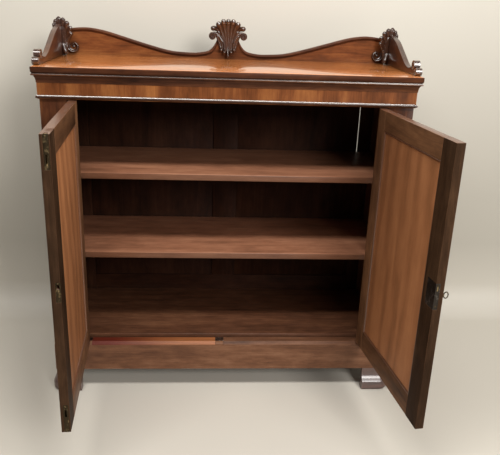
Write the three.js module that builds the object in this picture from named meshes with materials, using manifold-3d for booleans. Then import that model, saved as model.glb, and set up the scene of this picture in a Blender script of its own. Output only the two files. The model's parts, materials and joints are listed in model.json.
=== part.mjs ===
import * as THREE from 'three';
import { mergeVertices } from 'three/addons/utils/BufferGeometryUtils.js';
import Module from 'manifold-3d';

// A mahogany chiffonier: a low cupboard with two framed doors under a moulded slab,
// and a carved gallery round the back and the sides of the slab.
// Lengths are millimetres, +X to the right, +Y to the back, +Z up.
// The parts are drawn with the front of the stiles at y = 0 and the floor at z = 0.
// The doors stand open, as they are turned about their hinge pins.

// Driving sizes of the carcass
const bodyWidth = 1068;
const bodyDepth = 388;
const footHeight = 77;
const plinthHeight = 98.5;
const openingHeight = 769.5;
const friezeHeight = 45;
const corniceHeight = 26;
const slabThickness = 18;
const slabSideOverhang = 16;
const slabFrontOverhang = 18;
const stileWidth = 75;
const stileThickness = 24;
const sideThickness = 20;

// Driving sizes of the doors, and how far each one stands open
const doorThickness = 23;
const doorTopGap = 2;
const doorBottomGap = 2.5;
const doorHingeGap = 1.5;
const doorMeetGap = 1;
const doorHingeStileWidth = 50;
const doorMeetingStileWidth = 62;
const doorTopRailWidth = 56;
const doorBottomRailWidth = 62;
const leftDoorAngle = 86.25;
const rightDoorAngle = 97.5;

// Driving sizes of the shelves and the back
const shelfThickness = 20;
const lowerCompartmentHeight = 266;
const middleCompartmentHeight = 233;
const bottomBoardRise = 13.5;
const shelfSetback = 1;
const backThickness = 18;
const shelfBackGap = 0.5;

// Driving sizes of the gallery
const galleryHeight = 86;
const galleryBackThickness = 18;
const gallerySideThickness = 16;
const crestRise = 43;

// Clearances
const seatGap = 0.3;
const overrun = 2;
const weldTolerance = 0.001;

// Levels and faces worked out from the driving sizes
const bodyHalf = bodyWidth / 2;
const plinthTop = footHeight + plinthHeight;
const openingTop = plinthTop + openingHeight;
const friezeTop = openingTop + friezeHeight;
const slabBottom = friezeTop + corniceHeight;
const slabTop = slabBottom + slabThickness;
const slabHalf = bodyHalf + slabSideOverhang;
const openingHalf = bodyHalf - stileWidth;
const sideInner = bodyHalf - sideThickness;
const backFront = bodyDepth - backThickness;
const boardTop = plinthTop + bottomBoardRise;
const lowerShelfTop = boardTop + lowerCompartmentHeight + shelfThickness;
const upperShelfTop = lowerShelfTop + middleCompartmentHeight + shelfThickness;
const doorBottom = plinthTop + doorBottomGap;
const doorTop = openingTop - doorTopGap;
const doorWidth = openingHalf - doorHingeGap - doorMeetGap / 2;

const mahogany = { color: 0x6b3a20, roughness: 0.35, metalness: 0 };
const paleMahogany = { color: 0x8a5230, roughness: 0.4, metalness: 0 };
const darkMahogany = { color: 0x4a2a1a, roughness: 0.4, metalness: 0 };
const slabMahogany = { color: 0xa5643a, roughness: 0.2, metalness: 0 };
const brass = { color: 0xb08d4a, roughness: 0.35, metalness: 1 };
const iron = { color: 0x55504a, roughness: 0.5, metalness: 1 };

// Joining and cutting
const wasm = await Module();
wasm.setup();

function toSolid(geometry) {
  const bare = geometry.clone();
  bare.deleteAttribute('normal');
  bare.deleteAttribute('uv');
  const welded = mergeVertices(bare, weldTolerance);
  const mesh = new wasm.Mesh({
    numProp: 3,
    vertProperties: new Float32Array(welded.attributes.position.array),
    triVerts: new Uint32Array(welded.index.array),
  });
  return new wasm.Manifold(mesh);
}

function toGeometry(solid) {
  const mesh = solid.getMesh();
  const geometry = new THREE.BufferGeometry();
  geometry.setAttribute('position', new THREE.BufferAttribute(new Float32Array(mesh.vertProperties), 3));
  geometry.setIndex(new THREE.BufferAttribute(new Uint32Array(mesh.triVerts), 1));
  return geometry;
}

function join(...geometries) {
  return toGeometry(geometries.map(toSolid).reduce((sum, next) => sum.add(next)));
}

function cut(geometry, ...tools) {
  return toGeometry(tools.map(toSolid).reduce((rest, tool) => rest.subtract(tool), toSolid(geometry)));
}

function common(first, second) {
  return toGeometry(toSolid(first).intersect(toSolid(second)));
}

// Simple solids
function block(x0, x1, y0, y1, z0, z1) {
  const box = new THREE.BoxGeometry(Math.abs(x1 - x0), y1 - y0, z1 - z0);
  return box.translate((x0 + x1) / 2, (y0 + y1) / 2, (z0 + z1) / 2);
}

function outline(points) {
  return new THREE.Shape(points.map(([u, v]) => new THREE.Vector2(u, v)));
}

function extrude(points, length, bevel = {}) {
  const options = { depth: length, bevelEnabled: false, curveSegments: 6, ...bevel };
  return new THREE.ExtrudeGeometry(outline(points), options);
}

// Points are [y, z]
function alongX(points, x0, x1) {
  const turn = new THREE.Matrix4().makeBasis(
    new THREE.Vector3(0, 1, 0), new THREE.Vector3(0, 0, 1), new THREE.Vector3(1, 0, 0));
  return extrude(points, x1 - x0).applyMatrix4(turn).translate(x0, 0, 0);
}

// Points are [x, z], and a bevel grows outwards from the outline
function alongY(points, y0, y1, bevel) {
  const turn = new THREE.Matrix4().makeBasis(
    new THREE.Vector3(1, 0, 0), new THREE.Vector3(0, 0, 1), new THREE.Vector3(0, -1, 0));
  return extrude(points, y1 - y0, bevel).applyMatrix4(turn).translate(0, y1, 0);
}

// Points are [x, y]
function alongZ(points, z0, z1) {
  return extrude(points, z1 - z0).translate(0, 0, z0);
}

function rodX(radius, x0, x1, y, z, sides = 16) {
  const rod = new THREE.CylinderGeometry(radius, radius, Math.abs(x1 - x0), sides);
  return rod.rotateZ(Math.PI / 2).translate((x0 + x1) / 2, y, z);
}

function rodY(radius, y0, y1, x, z, sides = 16) {
  return new THREE.CylinderGeometry(radius, radius, y1 - y0, sides).translate(x, (y0 + y1) / 2, z);
}

function rodZ(radius, z0, z1, x, y, sides = 16) {
  const rod = new THREE.CylinderGeometry(radius, radius, z1 - z0, sides);
  return rod.rotateX(Math.PI / 2).translate(x, y, (z0 + z1) / 2);
}

// A quarter of an ellipse from [u0, v0] to [u1, v1], leaving the first point along v
function quarterRound(u0, v0, u1, v1, steps = 4) {
  return Array.from({ length: steps + 1 }, (_, i) => {
    const angle = (i / steps) * (Math.PI / 2);
    return [u1 + (u0 - u1) * Math.cos(angle), v0 + (v1 - v0) * Math.sin(angle)];
  });
}

function addPiece(parent, name, geometry, look) {
  const mesh = new THREE.Mesh(geometry, new THREE.MeshStandardMaterial(look));
  mesh.name = name;
  parent.add(mesh);
}

const sides = [['left', -1], ['right', 1]];
const chiffonier = new THREE.Group();

// A moulding's profile is a list of [offset from the body, height], from the bottom up.
// Its front length and its returns meet in a mitre at the body's front corners.
function frontMoulding(profile) {
  const reach = Math.max(...profile.map(([offset]) => offset));
  const bottom = profile[0][1];
  const top = profile[profile.length - 1][1];
  const face = profile.map(([offset, z]) => [-offset, z]);
  const section = [[stileThickness, bottom], ...face, [stileThickness, top]];
  const far = reach + overrun;
  const mitres = sides.map(([, side]) => alongZ([
    [side * bodyHalf, 0],
    [side * (bodyHalf + far), -far],
    [side * (bodyHalf + far), stileThickness + overrun],
    [side * bodyHalf, stileThickness + overrun],
  ], bottom - overrun, top + overrun));
  return cut(alongX(section, -bodyHalf - reach, bodyHalf + reach), ...mitres);
}

function sideMoulding(profile, side) {
  const reach = Math.max(...profile.map(([offset]) => offset));
  const bottom = profile[0][1];
  const top = profile[profile.length - 1][1];
  const face = profile.map(([offset, z]) => [side * (bodyHalf + offset), z]);
  const section = [[side * bodyHalf, bottom], ...face, [side * bodyHalf, top]];
  const far = reach + overrun;
  const mitre = alongZ([
    [side * (bodyHalf - overrun), seatGap + overrun],
    [side * (bodyHalf + far), seatGap - far],
    [side * (bodyHalf + far), -far - overrun],
    [side * (bodyHalf - overrun), -far - overrun],
  ], bottom - overrun, top + overrun);
  return cut(alongY(section, -reach, bodyDepth), mitre);
}

// Plinth: a proud board with a cove worked on its top edge.
// Its front length carries the stiles and the keeper of the lower flush bolt.
const plinthProud = 9;
const plinthFillet = 1.5;
const plinthCoveHeight = 7.5;
const plinthLipHeight = 2;
const plinthLip = 1;
const plinthCoveBottom = plinthTop - plinthLipHeight - plinthCoveHeight;
const plinthProfile = [
  [plinthProud, footHeight],
  [plinthProud, plinthCoveBottom],
  ...quarterRound(plinthLip, plinthTop - plinthLipHeight, plinthProud - plinthFillet, plinthCoveBottom)
    .reverse(),
  [plinthLip, plinthTop],
];

// Flush bolts of the left door, and the places that they shoot into
const flushPlateLength = 80;
const flushPlateWidth = 12;
const flushPlateThickness = 2;
const flushBoltRadius = 3.7;
const flushBoltInset = 10;
const flushBoltDepth = 13.5;
const flushBoltSetback = 1;
const flushChannelEnd = 3;
const flushRodFoot = 2;
const flushSlotStart = 9;
const flushSlotLength = 26;
const flushKnobStart = 12;
const flushKnobRadius = 2.2;
const flushKnobSetback = 0.5;
const socketRadius = 4.2;
const socketDepth = 16;
const keeperThickness = 2;
const keeperMargin = 6.5;
const keeperLength = 26;
const keeperEdge = 1;
const keeperWidth = 22;
const flushBoltX = -(doorMeetGap / 2 + flushBoltInset);

function keeperBlock(grow, top) {
  const right = flushBoltX + keeperMargin + grow;
  const left = flushBoltX + keeperMargin - keeperLength - grow;
  const bottom = plinthTop - keeperThickness - grow;
  return block(left, right, keeperEdge - grow, keeperEdge + keeperWidth + grow, bottom, top);
}

function addPlinth() {
  const socket = rodZ(socketRadius, plinthTop - socketDepth, plinthTop + overrun, flushBoltX, flushBoltDepth);
  const front = cut(frontMoulding(plinthProfile), socket, keeperBlock(seatGap, plinthTop + overrun));
  addPiece(chiffonier, 'plinth_front', front, mahogany);
  addPiece(chiffonier, 'keeper_plate', cut(keeperBlock(0, plinthTop), socket), iron);
  for (const [label, side] of sides) {
    addPiece(chiffonier, `plinth_${label}`, sideMoulding(plinthProfile, side), mahogany);
  }
}

// Front feet: a short neck that sweeps out to a rounded toe, worked round the outer corner.
// Each is an angle of two thick lengths, so its inner end shows as a flat face.
const footWidth = 93;
const footThickness = 33;
const footNeck = 6;
const footNeckHeight = 18;
const footSweepHeight = 33.5;
const footToeReach = 23;
const footToeFoot = 9;
const footToeBase = 16.5;
const footCornerRadius = 24;
const footCornerSteps = 6;

// The sweep, as shares of the way out from the neck to the toe and of the way down
const footSweepShares = [
  [0, 0], [0.05, 0.16], [0.17, 0.33], [0.34, 0.49], [0.56, 0.63], [0.78, 0.73], [0.93, 0.84], [1, 1],
];

function footProfile() {
  const sweepTop = footHeight - footNeckHeight;
  const sweep = footSweepShares.map(([outShare, downShare]) => [
    footNeck + outShare * (footToeReach - footNeck), sweepTop - downShare * footSweepHeight,
  ]);
  return [
    [footToeBase, 0],
    ...quarterRound(footToeBase, 0, footToeReach, footToeFoot).slice(1),
    ...sweep.reverse(),
    [footNeck, footHeight],
  ];
}

function frontFoot(side) {
  const outer = bodyHalf + footToeReach;
  const inner = outer - footWidth;
  const back = footWidth - footToeReach;
  const profile = footProfile();
  const frontBar = alongX(
    [[back, 0], ...profile.map(([offset, z]) => [-offset, z]), [back, footHeight]],
    Math.min(side * inner, side * outer), Math.max(side * inner, side * outer));
  const sideBar = alongY(
    [[side * inner, 0], ...profile.map(([offset, z]) => [side * (bodyHalf + offset), z]),
      [side * inner, footHeight]],
    -footToeReach, back);
  const arc = Array.from({ length: footCornerSteps + 1 }, (_, i) => {
    const angle = (i / footCornerSteps) * (Math.PI / 2);
    const x = outer - footCornerRadius + footCornerRadius * Math.sin(angle);
    const y = -footToeReach + footCornerRadius - footCornerRadius * Math.cos(angle);
    return [side * x, y];
  });
  const plan = alongZ([[side * inner, -footToeReach], ...arc, [side * outer, back], [side * inner, back]],
    0, footHeight);
  const innerX = side * (outer - footThickness);
  const openX = side * (inner - overrun);
  const hollow = block(Math.min(openX, innerX), Math.max(openX, innerX),
    footThickness - footToeReach, back + overrun, -overrun, footHeight + overrun);
  return cut(common(common(frontBar, sideBar), plan), hollow);
}

// Back feet: plain blocks that taper towards the floor
const backFootWidth = 60;
const backFootTaper = 8;

function backFoot(side) {
  const width = backFootWidth;
  const near = side * (bodyHalf - width);
  const far = side * bodyHalf;
  const front = bodyDepth - width;
  const across = alongY([
    [near + side * backFootTaper, 0], [far, 0], [far, footHeight], [near, footHeight]], front, bodyDepth);
  const along = alongX([
    [front + backFootTaper, 0], [bodyDepth, 0], [bodyDepth, footHeight], [front, footHeight]],
    Math.min(near, far), Math.max(near, far));
  return common(across, along);
}

function addFeet() {
  for (const [label, side] of sides) {
    addPiece(chiffonier, `foot_front_${label}`, frontFoot(side), darkMahogany);
    addPiece(chiffonier, `foot_back_${label}`, backFoot(side), darkMahogany);
  }
}

// Butt hinges: two to a door, let into the door's edge and the stile's edge
const hingeLength = 64;
const hingeLeafDepth = 19;
const hingeLeafThickness = 2;
const hingeKnuckleRadius = 4.5;
const hingeStandoff = 5;
const hingePinRadius = 2;
const hingeKnuckleCount = 5;
const hingeKnuckleGap = 0.4;
const hingeFromEnd = 85;
const pinX = openingHalf - doorHingeGap / 2;
const hingeHeights = [['lower', doorBottom + hingeFromEnd], ['upper', doorTop - hingeFromEnd]];

function hingeRecess(side, inner, outer, height) {
  const x0 = Math.min(side * inner, side * outer);
  const x1 = Math.max(side * inner, side * outer);
  const reach = hingeLength / 2 + seatGap;
  return block(x0, x1, -overrun, hingeLeafDepth + seatGap, height - reach, height + reach);
}

function hingeLeaf(side, height, moving) {
  const inner = moving ? openingHalf - doorHingeGap - hingeLeafThickness : openingHalf;
  const x0 = Math.min(side * inner, side * (inner + hingeLeafThickness));
  const x1 = Math.max(side * inner, side * (inner + hingeLeafThickness));
  const bottom = height - hingeLength / 2;
  const top = height + hingeLength / 2;
  const pieces = [block(x0, x1, 0, hingeLeafDepth, bottom, top)];
  const step = hingeLength / hingeKnuckleCount;
  for (let i = moving ? 1 : 0; i < hingeKnuckleCount; i += 2) {
    const low = bottom + i * step + (i > 0 ? hingeKnuckleGap / 2 : 0);
    const high = bottom + (i + 1) * step - (i < hingeKnuckleCount - 1 ? hingeKnuckleGap / 2 : 0);
    pieces.push(rodZ(hingeKnuckleRadius, low, high, side * pinX, -hingeStandoff));
    pieces.push(block(x0, x1, -hingeStandoff, hingeStandoff, low, high));
  }
  if (moving) {
    const bore = rodZ(hingePinRadius + seatGap, bottom - overrun, top + overrun, side * pinX, -hingeStandoff);
    return cut(join(...pieces), bore);
  }
  return join(...pieces, rodZ(hingePinRadius, bottom, top, side * pinX, -hingeStandoff));
}

// Carcass boards. The shelves and the bottom board sit in housings across the sides.
const housingDepth = 5;
const shelfEdgeRound = 3;
const shelfFront = stileThickness + shelfSetback;
const shelfBack = backFront - shelfBackGap;

function housing(side, top) {
  const x0 = Math.min(side * (sideInner - overrun), side * (sideInner + housingDepth));
  const x1 = Math.max(side * (sideInner - overrun), side * (sideInner + housingDepth));
  const bottom = top - shelfThickness - seatGap;
  return block(x0, x1, stileThickness - overrun, backFront - seatGap, bottom, top + seatGap);
}

function sideBoard(side) {
  const x0 = Math.min(side * sideInner, side * bodyHalf);
  const x1 = Math.max(side * sideInner, side * bodyHalf);
  const board = block(x0, x1, stileThickness, bodyDepth, footHeight, slabBottom);
  return cut(board, ...[boardTop, lowerShelfTop, upperShelfTop].map((top) => housing(side, top)));
}

function shelf(top, front) {
  const end = sideInner + housingDepth - seatGap;
  const bottom = top - shelfThickness;
  const upperRound = quarterRound(front, top - shelfEdgeRound, front + shelfEdgeRound, top, 3);
  const lowerRound = quarterRound(front, bottom + shelfEdgeRound, front + shelfEdgeRound, bottom, 3);
  return alongX([[shelfBack, bottom], ...lowerRound.reverse(), ...upperRound, [shelfBack, top]], -end, end);
}

function frontStile(side) {
  const x0 = Math.min(side * openingHalf, side * bodyHalf);
  const x1 = Math.max(side * openingHalf, side * bodyHalf);
  const post = block(x0, x1, 0, stileThickness, plinthTop, openingTop);
  const edge = openingHalf + hingeLeafThickness + seatGap;
  return cut(post, ...hingeHeights.map(([, z]) => hingeRecess(side, openingHalf - overrun, edge, z)));
}

function addCarcass() {
  for (const [label, side] of sides) {
    addPiece(chiffonier, `side_board_${label}`, sideBoard(side), mahogany);
    addPiece(chiffonier, `front_stile_${label}`, frontStile(side), mahogany);
    for (const [place, height] of hingeHeights) {
      addPiece(chiffonier, `hinge_fixed_${label}_${place}`, hingeLeaf(side, height, false), brass);
    }
  }
  addPiece(chiffonier, 'bottom_board', shelf(boardTop, stileThickness), mahogany);
  addPiece(chiffonier, 'shelf_lower', shelf(lowerShelfTop, shelfFront), mahogany);
  addPiece(chiffonier, 'shelf_upper', shelf(upperShelfTop, shelfFront), mahogany);
}

// Back: a frame with a centre muntin, and two thin panels in grooves.
// The right panel has shrunk clear of its stile above the upper shelf, which leaves a slit.
const backStileWidth = 43;
const backMuntinWidth = 84;
const backTopRailWidth = 70;
const backBottomRailWidth = 90;
const backFrameBottom = 155;
const backPanelThickness = 6;
const backPanelInset = 6;
const backGrooveDepth = 8;
const slitWidth = 4.5;
const slitBottomDrop = 30;

function addBack() {
  const outer = sideInner - seatGap;
  const stileEdge = sideInner - backStileWidth;
  const railBottom = slabBottom - backTopRailWidth;
  const railTop = backFrameBottom + backBottomRailWidth;
  const muntinEdge = backMuntinWidth / 2;
  const thinFront = backFront + (backThickness - backPanelThickness) / 2;
  const thinBack = thinFront + backPanelThickness;
  const grooveFront = thinFront - seatGap;
  const grooveBack = thinBack + seatGap;
  const grooves = sides.map(([, side]) => {
    const near = side * (muntinEdge - backGrooveDepth);
    const far = side * (stileEdge + backGrooveDepth);
    return block(Math.min(near, far), Math.max(near, far), grooveFront, grooveBack,
      railTop - backGrooveDepth, railBottom + backGrooveDepth);
  });
  const bar = (x0, x1, z0, z1) => cut(block(x0, x1, backFront, bodyDepth, z0, z1), ...grooves);
  const bars = {
    back_stile_left: bar(-outer, -stileEdge, backFrameBottom, slabBottom),
    back_stile_right: bar(stileEdge, outer, backFrameBottom, slabBottom),
    back_bottom_rail: bar(-stileEdge, stileEdge, backFrameBottom, railTop),
    back_top_rail: bar(-stileEdge, stileEdge, railBottom, slabBottom),
    back_muntin: bar(-muntinEdge, muntinEdge, railTop, railBottom),
  };
  for (const [name, geometry] of Object.entries(bars)) {
    addPiece(chiffonier, name, geometry, mahogany);
  }
  for (const [label, side] of sides) {
    const near = side * (muntinEdge - backPanelInset);
    const far = side * (stileEdge + backPanelInset);
    const panel = block(Math.min(near, far), Math.max(near, far), thinFront, thinBack,
      railTop - backPanelInset, railBottom + backPanelInset);
    const slit = block(stileEdge - slitWidth, far + overrun, thinFront - overrun, thinBack + overrun,
      upperShelfTop - slitBottomDrop, railBottom + backPanelInset + overrun);
    addPiece(chiffonier, `back_panel_${label}`, side > 0 ? cut(panel, slit) : panel, darkMahogany);
  }
}

// Frieze with its bead, and the cavetto and fillet under the slab
const friezeProud = 4;
const beadRadius = 3.5;
const beadRise = 3;
const corniceFoot = 5;
const cavettoReach = 12.5;
const cavettoHeight = 20;
const filletReach = 14.5;
const beadSteps = 6;

function friezeProfile() {
  const middle = openingTop + beadRise + beadRadius;
  const bead = Array.from({ length: beadSteps + 1 }, (_, i) => {
    const angle = (i / beadSteps - 1 / 2) * Math.PI;
    return [friezeProud + beadRadius * Math.cos(angle), middle + beadRadius * Math.sin(angle)];
  });
  return [[friezeProud, openingTop], ...bead, [friezeProud, friezeTop]];
}

function corniceProfile() {
  return [
    [corniceFoot, friezeTop],
    ...quarterRound(corniceFoot, friezeTop, cavettoReach, friezeTop + cavettoHeight, 5).slice(1),
    [filletReach, friezeTop + cavettoHeight],
    [filletReach, slabBottom],
  ];
}

// Slab: the same moulded edge at the front and at both ends
const slabTopRound = 2.5;
const slabBottomRound = 6;

function slab() {
  const front = -slabFrontOverhang;
  const lower = (edge, way) => quarterRound(edge, slabBottom + slabBottomRound,
    edge + way * slabBottomRound, slabBottom, 4).reverse();
  const upper = (edge, way) => quarterRound(edge, slabTop - slabTopRound, edge + way * slabTopRound, slabTop, 3);
  const lengthwise = alongX(
    [[bodyDepth, slabBottom], ...lower(front, 1), ...upper(front, 1), [bodyDepth, slabTop]], -slabHalf, slabHalf);
  const crosswise = alongY(
    [...lower(-slabHalf, 1), ...upper(-slabHalf, 1), ...upper(slabHalf, -1).reverse(),
      ...lower(slabHalf, -1).reverse()],
    front, bodyDepth);
  return common(lengthwise, crosswise);
}

function addTop() {
  const socket = rodZ(socketRadius, openingTop - overrun, openingTop + socketDepth, flushBoltX, flushBoltDepth);
  addPiece(chiffonier, 'frieze_front', cut(frontMoulding(friezeProfile()), socket), paleMahogany);
  addPiece(chiffonier, 'cornice_front', frontMoulding(corniceProfile()), darkMahogany);
  for (const [label, side] of sides) {
    const returns = [...friezeProfile(), ...corniceProfile()];
    addPiece(chiffonier, `frieze_return_${label}`, sideMoulding(returns, side), paleMahogany);
  }
  addPiece(chiffonier, 'slab', slab(), slabMahogany);
}

// Gallery back board. Its top edge is given as shares of its half width and of its height,
// from the crest's neck to the corner, and then the tab that backs the crest.
const cornerWidth = 20;
const cornerDepth = 50;
const galleryEdgeHeight = 12;
const galleryEdgeProud = 6;
const galleryEdgeRound = 2;
const galleryCurveSteps = 44;
const edgeStartShare = 0.12;
const edgeEndShare = 0.98;
const galleryEdgeShares = [
  [0.07, 0.674], [0.078, 0.57], [0.098, 0.39], [0.128, 0.267], [0.189, 0.198], [0.247, 0.192], [0.359, 0.244],
  [0.487, 0.43], [0.608, 0.64], [0.7325, 0.86], [0.802, 0.953], [0.868, 1], [0.921, 0.948], [0.961, 0.79],
  [0.984, 0.651], [0.997, 0.47], [1, 0.3],
];
const tabShares = [[0, 1.2], [0.04, 1.16], [0.062, 1], [0.068, 0.83]];
const scrollRadius = 21;
const scrollEndRadius = 10;
const scrollEndWidth = 6;
const scrollTurnDegrees = 300;
const scrollSteps = 22;
const scrollHeightShare = 0.3;
const galleryFront = bodyDepth - galleryBackThickness;
const galleryHalf = slabHalf - cornerWidth - seatGap;

function galleryPoint([across, up]) {
  return new THREE.Vector2(across * galleryHalf, slabTop + up * galleryHeight);
}

function galleryEdge() {
  return new THREE.SplineCurve(galleryEdgeShares.map(galleryPoint)).getPoints(galleryCurveSteps);
}

// The same line moved square to itself by a distance
function movedLine(points, distance) {
  return points.map((point, i) => {
    const before = points[Math.max(i - 1, 0)];
    const after = points[Math.min(i + 1, points.length - 1)];
    const run = after.clone().sub(before).normalize();
    return new THREE.Vector2(point.x - run.y * distance, point.y + run.x * distance);
  });
}

// The moulded edge turns down at the corner, and curls inwards to a scroll on the board's face
function scrollLines() {
  const centre = new THREE.Vector2(galleryHalf - scrollRadius, slabTop + scrollHeightShare * galleryHeight);
  const steps = Array.from({ length: scrollSteps + 1 }, (_, i) => i / scrollSteps);
  const line = (inset) => steps.map((share) => {
    const angle = -THREE.MathUtils.degToRad(share * scrollTurnDegrees);
    const width = galleryEdgeHeight + share * (scrollEndWidth - galleryEdgeHeight);
    const radius = scrollRadius + share * (scrollEndRadius - scrollRadius) - inset * width;
    return new THREE.Vector2(centre.x + radius * Math.cos(angle), centre.y + radius * Math.sin(angle));
  });
  return [line(0), line(1)];
}

function galleryBack() {
  const edge = galleryEdge();
  const half = [...tabShares.map(galleryPoint), ...edge].map((point) => [point.x, point.y]);
  const mirrored = half.slice(1).map(([x, z]) => [-x, z]).reverse();
  const board = alongY([[-galleryHalf, slabTop], ...mirrored, ...half, [galleryHalf, slabTop]],
    galleryFront, bodyDepth);
  const run = edge.slice(Math.round(edgeStartShare * edge.length), Math.round(edgeEndShare * edge.length));
  const [outerCurl, innerCurl] = scrollLines();
  const outer = [...run, ...outerCurl];
  const inner = [...movedLine(run, -galleryEdgeHeight), ...innerCurl];
  const bevel = {
    bevelEnabled: true, bevelSegments: 2, bevelThickness: galleryEdgeRound,
    bevelSize: galleryEdgeRound, bevelOffset: -galleryEdgeRound,
  };
  const edges = sides.map(([, side]) => {
    const band = [...outer.map((p) => [side * p.x, p.y]), ...inner.map((p) => [side * p.x, p.y]).reverse()];
    return alongY(band, galleryFront - galleryEdgeProud, galleryFront + galleryEdgeProud, bevel);
  });
  const inside = block(-galleryHalf, galleryHalf, galleryFront - cornerDepth, bodyDepth, slabTop,
    slabTop + galleryHeight + cornerDepth);
  return common(join(board, ...edges), inside);
}

// Gallery side boards: the top edge falls forward to a double roll
const sideEdgeShares = [
  [1, 1.13], [0.81, 0.98], [0.72, 0.86], [0.634, 0.7], [0.508, 0.47], [0.41, 0.29], [0.32, 0.2], [0.27, 0.19],
];
const sideEdgeSteps = 18;
const sideFrontInset = 23;
const upperRollRadius = 14;
const upperRollInset = 48;
const upperRollLift = 27;
const lowerRollRadius = 11;
const lowerRollInset = 20;
const rollProud = 1;
const cornerFront = bodyDepth - cornerDepth;

function gallerySide(side) {
  const back = cornerFront - seatGap;
  const front = -slabFrontOverhang + sideFrontInset;
  const upperRollY = front + upperRollInset;
  const lowerRollY = front + lowerRollInset;
  const edge = new THREE.SplineCurve(sideEdgeShares.map(([along, up]) => new THREE.Vector2(
    front + along * (back - front), slabTop + up * galleryHeight))).getPoints(sideEdgeSteps);
  const outer = side * slabHalf;
  const inner = side * (slabHalf - gallerySideThickness);
  const x0 = Math.min(outer, inner);
  const x1 = Math.max(outer, inner);
  const board = alongX(
    [[back, slabTop], ...edge.map((p) => [p.x, p.y]), [upperRollY, slabTop + upperRollLift],
      [lowerRollY, slabTop]],
    x0, x1);
  const upper = rodX(upperRollRadius, x0 - rollProud, x1 + rollProud, upperRollY, slabTop + upperRollLift, 20);
  const lower = rodX(lowerRollRadius, x0 - rollProud, x1 + rollProud, lowerRollY, slabTop + lowerRollRadius, 20);
  return join(board, upper, lower);
}

// A carved petal is a long drop, narrow at its root and round at its tip.
// Its profile is given as shares of its half width and of its length.
const petalProfileShares = [
  [0, 0], [0.3, 0.1], [0.62, 0.35], [0.9, 0.62], [1, 0.8], [0.84, 0.93], [0.48, 0.985], [0, 1],
];

function petal([x0, z0], [x1, z1], y, width, depth) {
  const drop = new THREE.LatheGeometry(petalProfileShares.map(([r, h]) => new THREE.Vector2(r, h)), 10);
  const length = Math.hypot(x1 - x0, z1 - z0);
  return drop.rotateX(Math.PI / 2).scale(width / 2, depth / 2, length)
    .rotateY(Math.atan2(x1 - x0, z1 - z0)).translate(x0, y, z0);
}

// Corner leaves: a post in each back corner that opens into an upright leaf.
// Each petal is [root across, root up, tip across, tip up, width], as shares of the leaf's width and height.
// Across runs from the leaf's inner edge to the end of the slab.
const leafWidth = 40;
const leafHeight = 119;
const leafDepth = 26;
const leafPostHeightShare = 0.72;
const leafBulge = 14;
const leafPetalShares = [
  [0.75, 0.1, 0.83, 1, 0.5], [0.68, 0.2, 0.38, 0.92, 0.36], [0.62, 0.25, 0.06, 0.8, 0.34],
  [0.6, 0.3, -0.1, 0.68, 0.28], [0.85, 0.2, 1.1, 0.9, 0.32], [0.88, 0.25, 1.22, 0.78, 0.3],
  [0.62, 0.42, 0.58, 0.03, 0.3], [0.86, 0.42, 0.88, 0.03, 0.3],
];

function cornerLeaf(side) {
  const postInner = slabHalf - cornerWidth;
  const inner = slabHalf - leafWidth;
  const xs = [side * postInner, side * slabHalf];
  const post = block(Math.min(...xs), Math.max(...xs), cornerFront, bodyDepth, slabTop,
    slabTop + leafPostHeightShare * leafHeight);
  const place = (across, up) => [side * (inner + across * leafWidth), slabTop + up * leafHeight];
  const petals = leafPetalShares.map(([rootAcross, rootUp, tipAcross, tipUp, width]) => petal(
    place(rootAcross, rootUp), place(tipAcross, tipUp), cornerFront + leafBulge, width * leafWidth, leafDepth));
  const clear = [side * (postInner - leafHeight), side * postInner];
  const beforeBoard = block(Math.min(...clear), Math.max(...clear), galleryFront - seatGap - galleryEdgeProud,
    bodyDepth + overrun, slabTop - overrun, slabTop + galleryHeight + seatGap);
  return cut(join(post, ...petals), beforeBoard);
}

// Crest: a fan of petals that rises from a waisted shield, with a volute at each side,
// and a smaller fan that hangs down to the slab. Petals are as for the leaves, from the middle outwards.
const crestHalfWidth = 65;
const crestShieldThickness = 9;
const crestPetalDepth = 20;
const shieldShares = [
  [0.3, 0.13], [0.5, 0.22], [0.63, 0.36], [0.58, 0.47], [0.62, 0.6], [0.46, 0.72],
];
const crestPetalShares = [
  [0, 0.2, 0, 1, 0.28], [0.06, 0.2, 0.24, 0.975, 0.25], [0.12, 0.22, 0.5, 0.92, 0.27],
  [0.22, 0.3, 0.87, 0.765, 0.2],
  [0, 0.42, 0, 0.03, 0.12], [0.05, 0.36, 0.2, 0.13, 0.11], [0.12, 0.36, 0.36, 0.21, 0.11],
];
const voluteShare = 0.79;
const voluteHeightShare = 0.57;
const voluteRadius = 13;
const voluteDepth = 15;
const voluteProfileShares = [
  [0, 0], [1, 0], [1, 0.6], [0.9, 0.82], [0.72, 0.82], [0.6, 0.55], [0.42, 0.55], [0.36, 0.9], [0.2, 1], [0, 1],
];

function crest() {
  const back = galleryFront - seatGap;
  const front = back - crestShieldThickness;
  const height = galleryHeight + crestRise;
  const place = (side, across, up) => [side * across * crestHalfWidth, slabTop + up * height];
  const shield = alongY([...shieldShares.map(([across, up]) => place(1, across, up)),
    ...shieldShares.map(([across, up]) => place(-1, across, up)).reverse()], front, back);
  const petals = crestPetalShares.flatMap(([rootAcross, rootUp, tipAcross, tipUp, width]) => {
    const drawn = tipAcross > 0 ? sides : [['middle', 1]];
    return drawn.map(([, side]) => petal(place(side, rootAcross, rootUp), place(side, tipAcross, tipUp), front,
      width * crestHalfWidth, crestPetalDepth));
  });
  const profile = voluteProfileShares.map(([r, h]) => new THREE.Vector2(r * voluteRadius, h * voluteDepth));
  const volutes = sides.map(([, side]) => new THREE.LatheGeometry(profile, 20).rotateZ(Math.PI)
    .translate(side * voluteShare * crestHalfWidth, back, slabTop + voluteHeightShare * height));
  const inFront = block(-crestHalfWidth - overrun, crestHalfWidth + overrun, front - crestHalfWidth, back,
    slabTop, slabTop + height);
  return common(join(shield, ...petals, ...volutes), inFront);
}

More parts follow.
